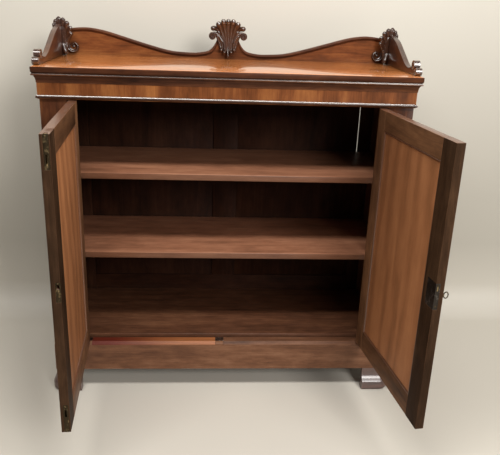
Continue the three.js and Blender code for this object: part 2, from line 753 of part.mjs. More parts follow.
function addGallery() {
  addPiece(chiffonier, 'gallery_back', galleryBack(), mahogany);
  addPiece(chiffonier, 'crest', crest(), darkMahogany);
  for (const [label, side] of sides) {
    addPiece(chiffonier, `gallery_side_${label}`, gallerySide(side), mahogany);
    addPiece(chiffonier, `corner_leaf_${label}`, cornerLeaf(side), darkMahogany);
  }
}

// Doors are drawn shut: a runs from the hinge edge to the meeting edge, b from the outer face inwards.
// A finished door is then turned about its hinge pin.
const panelThickness = 7;
const panelSetback = 4;
const panelInset = 6;
const doorGrooveDepth = 7;
const tenonLength = 30;
const tenonShoulder = 10;
const doorCoveWidth = 9;
const doorCoveDepth = 8;
const panelBack = doorThickness - panelSetback;
const panelFront = panelBack - panelThickness;
const railStart = doorHingeStileWidth;
const railEnd = doorWidth - doorMeetingStileWidth;
const openingLow = doorBottom + doorBottomRailWidth;
const openingHigh = doorTop - doorTopRailWidth;

function doorX(side, a) {
  return side * (openingHalf - doorHingeGap - a);
}

function doorBlock(side, a0, a1, b0, b1, z0, z1) {
  const xs = [doorX(side, a0), doorX(side, a1)];
  return block(Math.min(...xs), Math.max(...xs), b0, b1, z0, z1);
}

// The cove round the inside of the frame's outer face
function coveCutter(side) {
  const near = doorX(side, railStart);
  const far = doorX(side, railEnd);
  const bevel = {
    bevelEnabled: true, bevelSegments: 4, bevelThickness: doorCoveDepth, bevelSize: doorCoveWidth, bevelOffset: 0,
  };
  return alongY([[near, openingLow], [far, openingLow], [far, openingHigh], [near, openingHigh]],
    -overrun, 0, bevel);
}

function doorRail(side, z0, z1, grooveZ0, grooveZ1) {
  const gap = seatGap;
  const body = doorBlock(side, railStart + gap, railEnd - gap, 0, doorThickness, z0, z1);
  const tenons = doorBlock(side, railStart - tenonLength, railEnd + tenonLength, panelFront, panelBack,
    z0 + tenonShoulder, z1 - tenonShoulder);
  const groove = doorBlock(side, railStart - tenonLength - overrun, railEnd + tenonLength + overrun,
    panelFront - gap, panelBack + gap, grooveZ0, grooveZ1);
  return cut(join(body, tenons), groove, coveCutter(side));
}

function doorStileCuts(side, edge, way) {
  const gap = seatGap;
  const mortise = (z0, z1) => doorBlock(side, edge + way * overrun, edge - way * (tenonLength + gap),
    panelFront - gap, panelBack + gap, z0 + tenonShoulder - gap, z1 - tenonShoulder + gap);
  const groove = doorBlock(side, edge + way * overrun, edge - way * doorGrooveDepth,
    panelFront - gap, panelBack + gap, openingLow - doorGrooveDepth, openingHigh + doorGrooveDepth);
  return [mortise(doorBottom, openingLow), mortise(openingHigh, doorTop), groove, coveCutter(side)];
}

function hingeStile(side) {
  const stile = doorBlock(side, 0, railStart, 0, doorThickness, doorBottom, doorTop);
  const near = openingHalf - doorHingeGap - hingeLeafThickness - seatGap;
  const recesses = hingeHeights.map(([, z]) => hingeRecess(side, near, openingHalf, z));
  return cut(stile, ...doorStileCuts(side, railStart, 1), ...recesses);
}

// Lock of the right door
const lockCaseWidth = 44;
const lockCaseDepth = 12;
const lockCaseRise = 350;
const lockCaseHeight = 70;
const lockWall = 2;
const lockBoltThickness = 4;
const lockBoltHeight = 12;
const lockBoltLength = 36.5;
const lockBoltSetback = 0.5;
const lockBoltRise = 50;
const keyBackset = 27;
const keyRise = 25;
const keyShaftRadius = 2.7;
const keyOuterLength = 15;
const keyEndGap = 0.5;
const keyBitReach = 9;
const keyBitWidth = 5.5;
const keyBitThickness = 2;
const keyBowWidth = 20;
const keyBowDepth = 15;
const keyBowWall = 3.5;
const keyBowThickness = 2.6;
const keySlotWidth = 3.6;
const keySlotDrop = 10;
const escutcheonThickness = 1.2;
const escutcheonHalfWidth = 8;
const escutcheonHalfHeight = 15;
const escutcheonDrop = 3;
const lockCaseBottom = doorBottom + lockCaseRise;
const lockFront = doorThickness - lockCaseDepth;
const keyA = doorWidth - keyBackset;
const keyZ = lockCaseBottom + keyRise;
const keyInnerEnd = doorThickness - lockWall - keyEndGap;
const lockBoltBottom = lockCaseBottom + lockBoltRise;
const lockBoltFront = lockFront + (lockCaseDepth - lockBoltThickness) / 2;

function keyhole(b0, b1) {
  const x = doorX(1, keyA);
  const hole = rodY(keyShaftRadius + seatGap, b0, b1, x, keyZ);
  const slot = block(x - keySlotWidth / 2, x + keySlotWidth / 2, b0, b1, keyZ - keySlotDrop, keyZ);
  return join(hole, slot);
}

function lockSpace(gap, reach) {
  return doorBlock(1, doorWidth - lockCaseWidth - gap, doorWidth + reach, lockFront - gap,
    doorThickness + reach, lockCaseBottom - gap, lockCaseBottom + lockCaseHeight + gap);
}

function lockBoltSpace(side, a0, a1, gap) {
  return doorBlock(side, a0, a1, lockBoltFront - gap, lockBoltFront + lockBoltThickness + gap,
    lockBoltBottom - gap, lockBoltBottom + lockBoltHeight + gap);
}

function lockCase() {
  const top = lockCaseBottom + lockCaseHeight;
  const cavity = doorBlock(1, doorWidth - lockCaseWidth + lockWall, doorWidth - lockWall,
    lockFront + lockWall, doorThickness - lockWall, lockCaseBottom + lockWall, top - lockWall);
  const mouth = lockBoltSpace(1, doorWidth - lockWall - overrun, doorWidth + overrun, seatGap);
  const hole = keyhole(lockFront - overrun, lockFront + lockWall + overrun);
  return cut(lockSpace(0, 0), cavity, mouth, hole);
}

function key() {
  const x = doorX(1, keyA);
  const bowY = -keyOuterLength - keyBowDepth / 2;
  const oval = (thickness, wall) => new THREE.CylinderGeometry(1, 1, thickness, 20).rotateZ(Math.PI / 2)
    .scale(1, keyBowDepth / 2 - wall, keyBowWidth / 2 - wall).translate(x, bowY, keyZ);
  const shaft = rodY(keyShaftRadius, bowY + keyBowDepth / 2 - keyBowWall / 2, keyInnerEnd, x, keyZ);
  const bit = block(x - keyBitThickness / 2, x + keyBitThickness / 2, keyInnerEnd - keyBitWidth,
    keyInnerEnd, keyZ - keyBitReach, keyZ);
  return join(cut(oval(keyBowThickness, 0), oval(keyBowThickness + overrun, keyBowWall)), shaft, bit);
}

function escutcheon() {
  const x = doorX(1, keyA);
  const plate = new THREE.CylinderGeometry(1, 1, 1, 24)
    .scale(escutcheonHalfWidth, escutcheonThickness, escutcheonHalfHeight)
    .translate(x, -seatGap - escutcheonThickness / 2, keyZ - escutcheonDrop);
  return cut(plate, keyhole(-seatGap - escutcheonThickness - overrun, overrun));
}

// Striking plate of the left door, opposite the lock's bolt
const strikeHeight = 51;
const strikeTopMargin = 4;
const strikeThickness = 1.5;
const strikeMortiseDepth = 11;
const strikeMouthGap = 1;
const strikeTop = lockBoltBottom + lockBoltHeight + strikeTopMargin;

function strikeSpace(gap, reach) {
  return doorBlock(-1, doorWidth - strikeThickness - gap, doorWidth + reach, lockFront - gap,
    doorThickness + reach, strikeTop - strikeHeight - gap, strikeTop + gap);
}

function strikeMouth(depth) {
  return lockBoltSpace(-1, doorWidth - depth, doorWidth + overrun, strikeMouthGap);
}

// A flush bolt lies in a channel behind its plate, and its knob shows through the plate's slot.
// The way is 1 for the upper bolt, and -1 for the lower one, which starts at the door's bottom.
const flushWays = [['upper', 1, doorTop], ['lower', -1, doorBottom]];
const flushA = doorWidth - flushBoltInset;

function flushBlock(way, end, a0, a1, b0, b1, near, far) {
  const z0 = Math.min(end - way * near, end - way * far);
  const z1 = Math.max(end - way * near, end - way * far);
  return doorBlock(-1, a0, a1, b0, b1, z0, z1);
}

function flushPlateSpace(way, end, gap, reach) {
  return flushBlock(way, end, doorWidth - flushPlateThickness - gap, doorWidth + reach,
    flushBoltDepth - flushPlateWidth / 2 - gap, flushBoltDepth + flushPlateWidth / 2 + gap,
    -reach, flushPlateLength + gap);
}

function flushPocket(way, end) {
  const radius = flushBoltRadius + seatGap;
  const channel = flushBlock(way, end, flushA - flushBoltRadius - seatGap, doorWidth - flushPlateThickness,
    flushBoltDepth - radius, flushBoltDepth + radius, -overrun, flushPlateLength - flushChannelEnd);
  return join(channel, flushPlateSpace(way, end, seatGap, overrun));
}

function flushPlate(way, end) {
  const reach = flushKnobRadius + seatGap;
  const slot = flushBlock(way, end, doorWidth - flushPlateThickness - overrun, doorWidth + overrun,
    flushBoltDepth - reach, flushBoltDepth + reach,
    flushPlateLength - flushSlotStart - flushSlotLength, flushPlateLength - flushSlotStart);
  return cut(flushPlateSpace(way, end, 0, 0), slot);
}

function flushBolt(way, end) {
  const x = doorX(-1, flushA);
  const near = end - way * flushBoltSetback;
  const far = end - way * (flushPlateLength - flushChannelEnd - flushRodFoot);
  const rod = rodZ(flushBoltRadius, Math.min(near, far), Math.max(near, far), x, flushBoltDepth);
  const knobZ = end - way * (flushPlateLength - flushKnobStart);
  const knob = rodX(flushKnobRadius, x, doorX(-1, doorWidth - flushKnobSetback), flushBoltDepth, knobZ, 12);
  return join(rod, knob);
}

function meetingStile(side) {
  const stile = doorBlock(side, railEnd, doorWidth, 0, doorThickness, doorBottom, doorTop);
  const cuts = doorStileCuts(side, railEnd, -1);
  if (side > 0) {
    const hole = keyhole(-overrun, lockFront + overrun);
    return cut(stile, ...cuts, lockSpace(seatGap, overrun), hole);
  }
  const pockets = flushWays.map(([, way, end]) => flushPocket(way, end));
  return cut(stile, ...cuts, ...pockets, strikeSpace(seatGap, overrun), strikeMouth(strikeMortiseDepth));
}

function addDoor(label, side, degrees) {
  const door = new THREE.Group();
  door.position.set(side * pinX, -hingeStandoff, 0);
  door.rotation.z = side * THREE.MathUtils.degToRad(degrees);
  chiffonier.add(door);
  const add = (name, geometry, look) => addPiece(door, name,
    geometry.translate(-side * pinX, hingeStandoff, 0), look);
  const panelZ0 = openingLow - panelInset;
  const panelZ1 = openingHigh + panelInset;
  add(`${label}_door_hinge_stile`, hingeStile(side), darkMahogany);
  add(`${label}_door_meeting_stile`, meetingStile(side), darkMahogany);
  add(`${label}_door_top_rail`,
    doorRail(side, openingHigh, doorTop, openingHigh - overrun, openingHigh + doorGrooveDepth), darkMahogany);
  add(`${label}_door_bottom_rail`,
    doorRail(side, doorBottom, openingLow, openingLow - doorGrooveDepth, openingLow + overrun), darkMahogany);
  add(`${label}_door_panel`,
    doorBlock(side, railStart - panelInset, railEnd + panelInset, panelFront, panelBack, panelZ0, panelZ1),
    paleMahogany);
  for (const [place, height] of hingeHeights) {
    add(`hinge_moving_${label}_${place}`, hingeLeaf(side, height, true), brass);
  }
  if (side > 0) {
    add('lock_case', lockCase(), iron);
    const tail = doorWidth - lockBoltSetback - lockBoltLength;
    add('lock_bolt', lockBoltSpace(1, tail, doorWidth - lockBoltSetback, 0), brass);
    add('key', key(), brass);
    add('escutcheon', escutcheon(), brass);
  } else {
    add('strike_plate', cut(strikeSpace(0, 0), strikeMouth(strikeThickness + overrun)), brass);
    for (const [place, way, end] of flushWays) {
      add(`flush_plate_${place}`, flushPlate(way, end), brass);
      add(`flush_bolt_${place}`, flushBolt(way, end), brass);
    }
  }
}

addPlinth();
addFeet();
addCarcass();
addBack();
addTop();
addGallery();
addDoor('left', -1, leftDoorAngle);
addDoor('right', 1, rightDoorAngle);

// The origin is on the floor, midway between the frontmost and the rearmost points
chiffonier.updateMatrixWorld(true);
const extent = new THREE.Box3().setFromObject(chiffonier, true);
chiffonier.position.y = -(extent.min.y + extent.max.y) / 2;

export default chiffonier;
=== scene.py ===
"""Dresses the frame of a mahogany chiffonier: finishes, mouldings, carvings, brass, floor, lamps and camera.

Lengths are metres. X runs to the right, Y to the back and Z up, as in the frame.
"""

import json
import math

import bmesh
import bpy
from bpy.props import FloatProperty, FloatVectorProperty, PointerProperty
from mathutils import Matrix, Vector

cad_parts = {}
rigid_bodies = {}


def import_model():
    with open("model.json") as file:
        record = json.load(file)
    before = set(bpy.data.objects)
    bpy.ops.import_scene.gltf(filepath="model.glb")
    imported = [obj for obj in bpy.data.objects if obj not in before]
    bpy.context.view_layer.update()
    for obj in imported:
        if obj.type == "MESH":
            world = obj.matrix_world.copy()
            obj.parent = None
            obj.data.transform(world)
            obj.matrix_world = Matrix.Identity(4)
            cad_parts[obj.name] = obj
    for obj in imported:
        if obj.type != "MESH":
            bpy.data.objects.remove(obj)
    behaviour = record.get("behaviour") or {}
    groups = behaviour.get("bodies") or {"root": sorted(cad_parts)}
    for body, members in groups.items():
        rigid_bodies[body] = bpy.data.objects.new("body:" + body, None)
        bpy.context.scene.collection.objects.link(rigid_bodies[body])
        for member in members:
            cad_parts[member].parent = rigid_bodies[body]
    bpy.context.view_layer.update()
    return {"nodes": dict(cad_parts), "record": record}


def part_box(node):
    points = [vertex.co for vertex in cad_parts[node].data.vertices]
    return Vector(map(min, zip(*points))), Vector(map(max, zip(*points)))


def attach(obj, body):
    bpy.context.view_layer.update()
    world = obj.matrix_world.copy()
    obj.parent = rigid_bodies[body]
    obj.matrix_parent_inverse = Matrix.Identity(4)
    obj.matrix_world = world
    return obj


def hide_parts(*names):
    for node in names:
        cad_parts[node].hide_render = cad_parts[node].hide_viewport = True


bl_info = {
    "name": "Mahogany Chiffonier",
    "version": (1, 0, 0),
    "blender": (4, 5, 0),
    "location": "3D View > Sidebar > Chiffonier",
    "description": "Finishes, mouldings, carvings and brass for a two-door chiffonier",
    "category": "Object",
}

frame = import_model()
SIDES = (("left", -1), ("right", 1))
JOINTS = {joint["name"]: joint for joint in frame["record"]["behaviour"]["joints"]}
RIGHT, BACK, UP = Vector((1, 0, 0)), Vector((0, 1, 0)), Vector((0, 0, 1))

SLAB_LOW, SLAB_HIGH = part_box("slab")
BOARD_LOW, BOARD_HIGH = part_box("gallery_back")
STILE_LOW, STILE_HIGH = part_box("front_stile_right")
FRONT = STILE_LOW[1]
BODY_HALF = STILE_HIGH[0]

# The gallery: thickness of its back board, rise of its line above the slab, depth of a corner leaf
BOARD_DEPTH, GALLERY_RISE, LEAF_DEPTH = 0.018, 0.086, 0.05
# The gap that keeps neighbours from touching
CLEAR = 0.0003
# A shut door: its hinge edge from the middle, its width, and its bottom and top above the floor
DOOR_EDGE, DOOR_WIDTH, DOOR_LOW, DOOR_HIGH = 0.4575, 0.457, 0.178, 0.943
# Its stiles' widths, the opening's bottom and top, and how far the panel lies behind the outer face
HINGE_STILE, MEETING_STILE, PANEL_LOW, PANEL_HIGH, PANEL_SEAT = 0.05, 0.062, 0.24, 0.887, 0.019
# The front stiles' inner edge from the middle
OPENING_EDGE = 0.459


# User settings


def length(name, description, default):
    return FloatProperty(name=name, description=description, default=default, unit="LENGTH", precision=4)


def colour(name, description, default):
    return FloatVectorProperty(name=name, description=description, default=default, size=3, min=0, max=1,
                               subtype="COLOR")


# The grains: name, label, and the colours of the dark grain, the ground and the light grain
GRAINS = (
    ("case", "Case", (0.042, 0.0136, 0.0054), (0.145, 0.0466, 0.0153), (0.28, 0.1067, 0.0324)),
    ("plinth", "Plinth", (0.043, 0.0172, 0.0095), (0.1419, 0.0619, 0.0318), (0.258, 0.129, 0.0731)),
    ("inside", "Inside", (0.027, 0.0108, 0.0054), (0.09, 0.036, 0.018), (0.171, 0.0765, 0.0378)),
    # The shelves' tops: lighter than the inside wood, painted light where light falls into the compartments
    ("shelf", "Shelf", (0.0792, 0.0316, 0.0159), (0.2464, 0.1044, 0.0563), (0.3872, 0.182, 0.1011)),
    ("lip", "Shelf edge", (0.0646, 0.0237, 0.0117), (0.1293, 0.0539, 0.0284), (0.1939, 0.0862, 0.0462)),
    # The back boards: near black, painted shade for the dark back of the compartments
    ("back", "Back", (0.0074, 0.0025, 0.0012), (0.0279, 0.0093, 0.0043), (0.0527, 0.0198, 0.0093)),
    # The slab's top: lighter than its front and ends, painted light where the lamps fall on it
    ("top", "Top", (0.3354, 0.1049, 0.0279), (0.626, 0.2165, 0.0596), (0.8496, 0.3418, 0.1143)),
    ("carved", "Carving", (0.0101, 0.0034, 0.0018), (0.036, 0.0122, 0.0054), (0.0864, 0.0306, 0.012)),
    ("side", "Gallery side", (0.015, 0.0053, 0.003), (0.0638, 0.021, 0.009), (0.135, 0.0488, 0.018)),
    ("door", "Door frame", (0.0378, 0.0168, 0.0084), (0.1313, 0.0609, 0.0294), (0.2415, 0.1155, 0.0546)),
    ("foot", "Foot", (0.0158, 0.004, 0.0023), (0.072, 0.0201, 0.0117), (0.144, 0.0502, 0.0286)),
    ("edge", "Meeting stile", (0.0131, 0.007, 0.0035), (0.0404, 0.0203, 0.0106), (0.0859, 0.0444, 0.0228)),
    ("panel", "Door panel", (0.16, 0.064, 0.025), (0.32, 0.13, 0.054), (0.46, 0.2, 0.085)),
)
SHADES = (("deep", "dark grain"), ("middle", "ground"), ("light", "light grain"))


class FinishSettings(bpy.types.PropertyGroup):
    """Colours and polish of the wood and the metal"""

    wear: colour("Worn edge", "Wood that shows where the polish has rubbed through", (0.36, 0.17, 0.085))
    # The grime colour is dirt and also painted shade: the ambient occlusion mask lays it into every corner,
    # crease and hollow.
    grime: colour("Grime", "Old polish and dust in the corners", (0.012, 0.007, 0.005))
    brass: colour("Brass", "Rubbed brass", (0.46, 0.34, 0.18))
    brass_dull: colour("Tarnish", "Brass that has dulled", (0.05, 0.036, 0.021))
    iron: colour("Iron", "Rubbed iron", (0.3, 0.28, 0.26))
    iron_dull: colour("Dull iron", "Iron that has dulled", (0.05, 0.042, 0.036))
    strip_left: colour("Strip, left end", "Colour of the let-in strip at its left end", (0.12, 0.018, 0.009))
    strip_right: colour("Strip, right end", "Colour of the strip at its right end", (0.3, 0.105, 0.036))
    edge_softness: length("Edge softness", "Rounding of the board edges", 0.0009)
    slab_edge_softness: length("Slab edge softness", "Rounding of the slab's edges", 0.0024)
    door_edge_softness: length("Door edge softness", "Rounding of the door edges", 0.0016)
    metal_edge_softness: length("Metal edge softness", "Rounding of the metal's edges", 0.0003)


for key, label, *values in GRAINS:
    for (shade, words), value in zip(SHADES, values):
        setting = colour(f"{label}, {words}", f"{label}: {words}", value)
        FinishSettings.__annotations__[f"{key}_{shade}"] = setting


class CarvingSettings(bpy.types.PropertyGroup):
    """Sizes of the gallery, its mouldings and its carvings"""

    edge_width: length("Gallery edge width", "Width of the moulding along the gallery's top", 0.012)
    edge_proud: length("Gallery edge proud", "How far that moulding stands forward", 0.006)
    scroll_radius: length("Scroll radius", "Outer radius of the scroll in the gallery's corner", 0.0245)
    scroll_end_radius: length("Scroll end radius", "Radius of the scroll where it ends", 0.011)
    scroll_eye_radius: length("Scroll eye radius", "Radius of the button in the scroll's eye", 0.0052)
    upper_roll_radius: length("Upper roll radius", "Radius of the upper roll of the gallery's sides", 0.014)
    lower_roll_radius: length("Lower roll radius", "Radius of the lower roll of the gallery's sides", 0.011)
    crest_half_width: length("Crest half width", "Half the width of the carved crest", 0.065)
    crest_height: length("Crest height", "Height of the crest above the slab", 0.1332)
    crest_depth: length("Crest depth", "How far the crest's petals stand forward", 0.021)
    leaf_width: length("Leaf width", "Width of a corner leaf", 0.04)
    leaf_height: length("Leaf height", "Height of a corner leaf above the slab", 0.119)
    carving_cell: length("Carving fineness", "Grain of the mesh that joins a carving's petals", 0.0009)


class FittingSettings(bpy.types.PropertyGroup):
    """Sizes of the feet, the door beads and the brass"""

    foot_width: length("Foot width", "Width of a front foot", 0.093)
    foot_wall: length("Foot thickness", "Thickness of a front foot", 0.033)
    foot_toe: length("Toe reach", "How far a foot's toe stands out from the case", 0.023)
    bead_width: length("Door bead width", "Width of the bead round the door panels", 0.0058)
    bead_height: length("Door bead height", "How far that bead stands up from the panel", 0.0035)
    strip_length: length("Strip length", "Length of the strip let into the ledge", 0.394)
    strip_thickness: length("Strip thickness", "How far the strip stands above the ledge", 0.0004)
    screw_radius: length("Screw head radius", "Radius of the screw heads in the hinges", 0.0032)
    screw_slot: length("Screw slot width", "Width of the slot in a screw head", 0.0007)


class StageSettings(bpy.types.PropertyGroup):
    """Camera, lamps and floor"""

    camera_place: FloatVectorProperty(name="Camera place", description="Where the camera stands",
                                      default=(-0.06486, -1.7945, 1.23398), size=3, subtype="TRANSLATION")
    camera_turn: FloatProperty(name="Camera turn", description="How far the camera looks to the right",
                               default=math.radians(4.192), subtype="ANGLE")
    camera_drop: FloatProperty(name="Camera drop", description="How far the camera looks down",
                               default=math.radians(19.888), subtype="ANGLE")
    camera_roll: FloatProperty(name="Camera roll", description="How far the camera leans to the left",
                               default=math.radians(2.127), subtype="ANGLE")
    camera_lens: FloatProperty(name="Lens", description="Focal length in millimetres on a 36 mm sensor",
                               default=45.99, min=1)
    floor_colour: colour("Floor", "Colour of the floor and the backdrop", (0.65, 0.615, 0.545))
    backdrop_shade_colour: colour("Backdrop shade", "Colour of the backdrop where it stands in shade", (0.45, 0.425, 0.37))
    backdrop_distance: length("Backdrop", "Where the backdrop rises from the floor", 0.62)
    backdrop_bend: length("Backdrop bend", "Radius of the bend between the floor and the backdrop", 0.12)
    lamp_power: FloatProperty(name="Lamp power", description="Watts of the strip lamp", default=80, min=0)
    fill_power: FloatProperty(name="Fill power", description="Watts of the side lamp", default=110, min=0)
    sky_strength: FloatProperty(name="Room light", description="Strength of the light from all sides",
                                default=0.14, min=0)


# Shader nodes


def node(tree, kind, inputs=None, **settings):
    """Adds a node, with its settings, and with its inputs set or linked."""
    made = tree.nodes.new(kind)
    for key, value in settings.items():
        setattr(made, key, value)
    for key, value in (inputs or {}).items():
        socket = made.inputs[key]
        if isinstance(value, bpy.types.NodeSocket):
            tree.links.new(value, socket)
        elif socket.type == "RGBA" and len(value) == 3:
            socket.default_value = (*value, 1)
        else:
            socket.default_value = value
    return made


def new_group(name, inputs, outputs):
    """A shader node group with named sockets. Each is (name, socket kind, default)."""
    tree = bpy.data.node_groups.new(name, "ShaderNodeTree")
    for label, kind, default in inputs:
        socket = tree.interface.new_socket(label, in_out="INPUT", socket_type=kind)
        if default is not None:
            socket.default_value = default
    for label, kind in outputs:
        tree.interface.new_socket(label, in_out="OUTPUT", socket_type=kind)
    return tree, tree.nodes.new("NodeGroupInput"), tree.nodes.new("NodeGroupOutput")


def noise(tree, vector, stretch, detail=2.0, roughness=0.5):
    """Noise whose cells are 1/stretch long in each direction."""
    scaled = node(tree, "ShaderNodeVectorMath", {0: vector, 1: stretch}, operation="MULTIPLY")
    made = node(tree, "ShaderNodeTexNoise",
                {"Vector": scaled.outputs[0], "Scale": 1.0, "Detail": detail, "Roughness": roughness})
    return made.outputs["Fac"]


def maths(tree, operation, first, second, clamp=False):
    made = node(tree, "ShaderNodeMath", {0: first, 1: second}, operation=operation, use_clamp=clamp)
    return made.outputs[0]


def spread(tree, value, low, high, new_low=0.0, new_high=1.0):
    """Stretches the range low..high over new_low..new_high."""
    made = node(tree, "ShaderNodeMapRange",
                {"Value": value, "From Min": low, "From Max": high, "To Min": new_low, "To Max": new_high})
    return made.outputs["Result"]


def mix(tree, factor, first, second, blend="MIX"):
    made = node(tree, "ShaderNodeMix", {0: factor, 6: first, 7: second}, data_type="RGBA", blend_type=blend)
    return made.outputs[2]


def grain_group():
    """Mahogany: broad bands, streaks, fine lines, a flame and short dark pores along the vector's X."""
    tree, given, result = new_group(
        "Mahogany grain",
        [("Vector", "NodeSocketVector", None), ("Deep", "NodeSocketColor", None),
         ("Middle", "NodeSocketColor", None), ("Light", "NodeSocketColor", None),
         ("Contrast", "NodeSocketFloat", 1.0), ("Flame", "NodeSocketFloat", 0.3),
         ("Pores", "NodeSocketFloat", 0.5)],
        [("Color", "NodeSocketColor"), ("Height", "NodeSocketFloat"), ("Gloss", "NodeSocketFloat")])
    vector = given.outputs["Vector"]
    bend = noise(tree, vector, (2.2, 9, 9), 2)
    push = maths(tree, "MULTIPLY", maths(tree, "SUBTRACT", bend, 0.5), 0.05)
    shift = node(tree, "ShaderNodeCombineXYZ", {"Y": push, "Z": push}).outputs[0]
    bent = node(tree, "ShaderNodeVectorMath", {0: vector, 1: shift}, operation="ADD").outputs[0]
    broad = noise(tree, bent, (1.3, 17, 17), 3)
    streak = noise(tree, bent, (4, 95, 95), 4, 0.62)
    line = noise(tree, bent, (9, 430, 430), 2)
    mottle = noise(tree, vector, (15, 38, 38), 3, 0.6)
    cloud = noise(tree, vector, (2.6, 4.5, 4.5), 2)
    stretched = node(tree, "ShaderNodeVectorMath", {0: bent, 1: (1.1, 5.5, 5.5)},
                     operation="MULTIPLY").outputs[0]
    waves = {"Vector": stretched, "Scale": 1.0, "Distortion": 7.0, "Detail": 3.0, "Detail Scale": 1.4,
             "Detail Roughness": 0.55}
    flame = node(tree, "ShaderNodeTexWave", waves, wave_type="RINGS", rings_direction="X").outputs["Fac"]
    parts = [(broad, 0.55), (streak, 0.6), (line, 0.4), (mottle, 0.75), (cloud, 0.7)]
    total = maths(tree, "MULTIPLY", maths(tree, "SUBTRACT", flame, 0.5), given.outputs["Flame"])
    for value, weight in parts:
        part = maths(tree, "MULTIPLY", maths(tree, "SUBTRACT", value, 0.5), weight)
        total = maths(tree, "ADD", total, part)
    shade = maths(tree, "ADD", maths(tree, "MULTIPLY", total, given.outputs["Contrast"]), 0.5, clamp=True)
    dark_half = mix(tree, spread(tree, shade, 0.12, 0.5), given.outputs["Deep"], given.outputs["Middle"])
    whole = mix(tree, spread(tree, shade, 0.5, 0.88), dark_half, given.outputs["Light"])
    pore = spread(tree, noise(tree, bent, (160, 1500, 1500), 1), 0.62, 0.7)
    pore = maths(tree, "MULTIPLY", pore, given.outputs["Pores"])
    tree.links.new(mix(tree, maths(tree, "MULTIPLY", pore, 0.6), whole, given.outputs["Deep"]),
                   result.inputs["Color"])
    height = maths(tree, "SUBTRACT", maths(tree, "MULTIPLY", streak, 0.5), pore)
    tree.links.new(height, result.inputs["Height"])
    tree.links.new(noise(tree, vector, (7, 13, 13), 4, 0.65), result.inputs["Gloss"])
    return tree


def wear_and_shade_group():
    """Rubbed edges, and grime with painted shade in corners and hollows, both broken up by noise."""
    tree, given, result = new_group(
        "Wear and grime",
        [("Vector", "NodeSocketVector", None), ("Edge Radius", "NodeSocketFloat", 0.003),
         ("Rub", "NodeSocketFloat", 0.5), ("Grime", "NodeSocketFloat", 0.5),
         ("Reach", "NodeSocketFloat", 0.035)],
        [("Rubbed", "NodeSocketFloat"), ("Grimy", "NodeSocketFloat")])
    soft = node(tree, "ShaderNodeBevel", {"Radius": given.outputs["Edge Radius"]}, samples=4)
    flat = node(tree, "ShaderNodeNewGeometry")
    facing = node(tree, "ShaderNodeVectorMath", {0: soft.outputs[0], 1: flat.outputs["Normal"]},
                  operation="DOT_PRODUCT").outputs["Value"]
    edge = spread(tree, facing, 0.97, 0.75)
    patches = spread(tree, noise(tree, given.outputs["Vector"], (23, 31, 31), 4, 0.7), 0.4, 0.62)
    rubbed = maths(tree, "MULTIPLY", maths(tree, "MULTIPLY", edge, patches), given.outputs["Rub"], clamp=True)
    # Painted shade: ambient occlusion picks out the corners, creases and hollows, which the grime colour
    # darkens
    hidden = node(tree, "ShaderNodeAmbientOcclusion", {"Distance": given.outputs["Reach"]},
                  samples=6).outputs["AO"]
    shut = spread(tree, hidden, 0.75, 0.2)
    cloud = spread(tree, noise(tree, given.outputs["Vector"], (6, 9, 9), 3, 0.6), 0.25, 0.75, 0.4, 1.0)
    grime_and_shade_mask = maths(tree, "MULTIPLY", maths(tree, "MULTIPLY", shut, cloud), given.outputs["Grime"], clamp=True)
    tree.links.new(rubbed, result.inputs["Rubbed"])
    tree.links.new(grime_and_shade_mask, result.inputs["Grimy"])
    return tree


def new_material(name):
    """An empty node material, with its tree and its object coordinates."""
    material = bpy.data.materials.new(name)
    material.use_nodes = True
    tree = material.node_tree
    tree.nodes.clear()
    return material, tree, node(tree, "ShaderNodeTexCoord").outputs["Object"]


def show(tree, shader):
    """Links a shader to the material's surface."""
    output = node(tree, "ShaderNodeOutputMaterial")
    tree.links.new(shader.outputs[0], output.inputs["Surface"])


GROUPS = {}


def group(name):
    """The shared node group of that name, built the first time that it is used."""
    if name not in GROUPS:
        GROUPS[name] = {"grain": grain_group, "wear": wear_and_shade_group}[name]()
    return GROUPS[name]
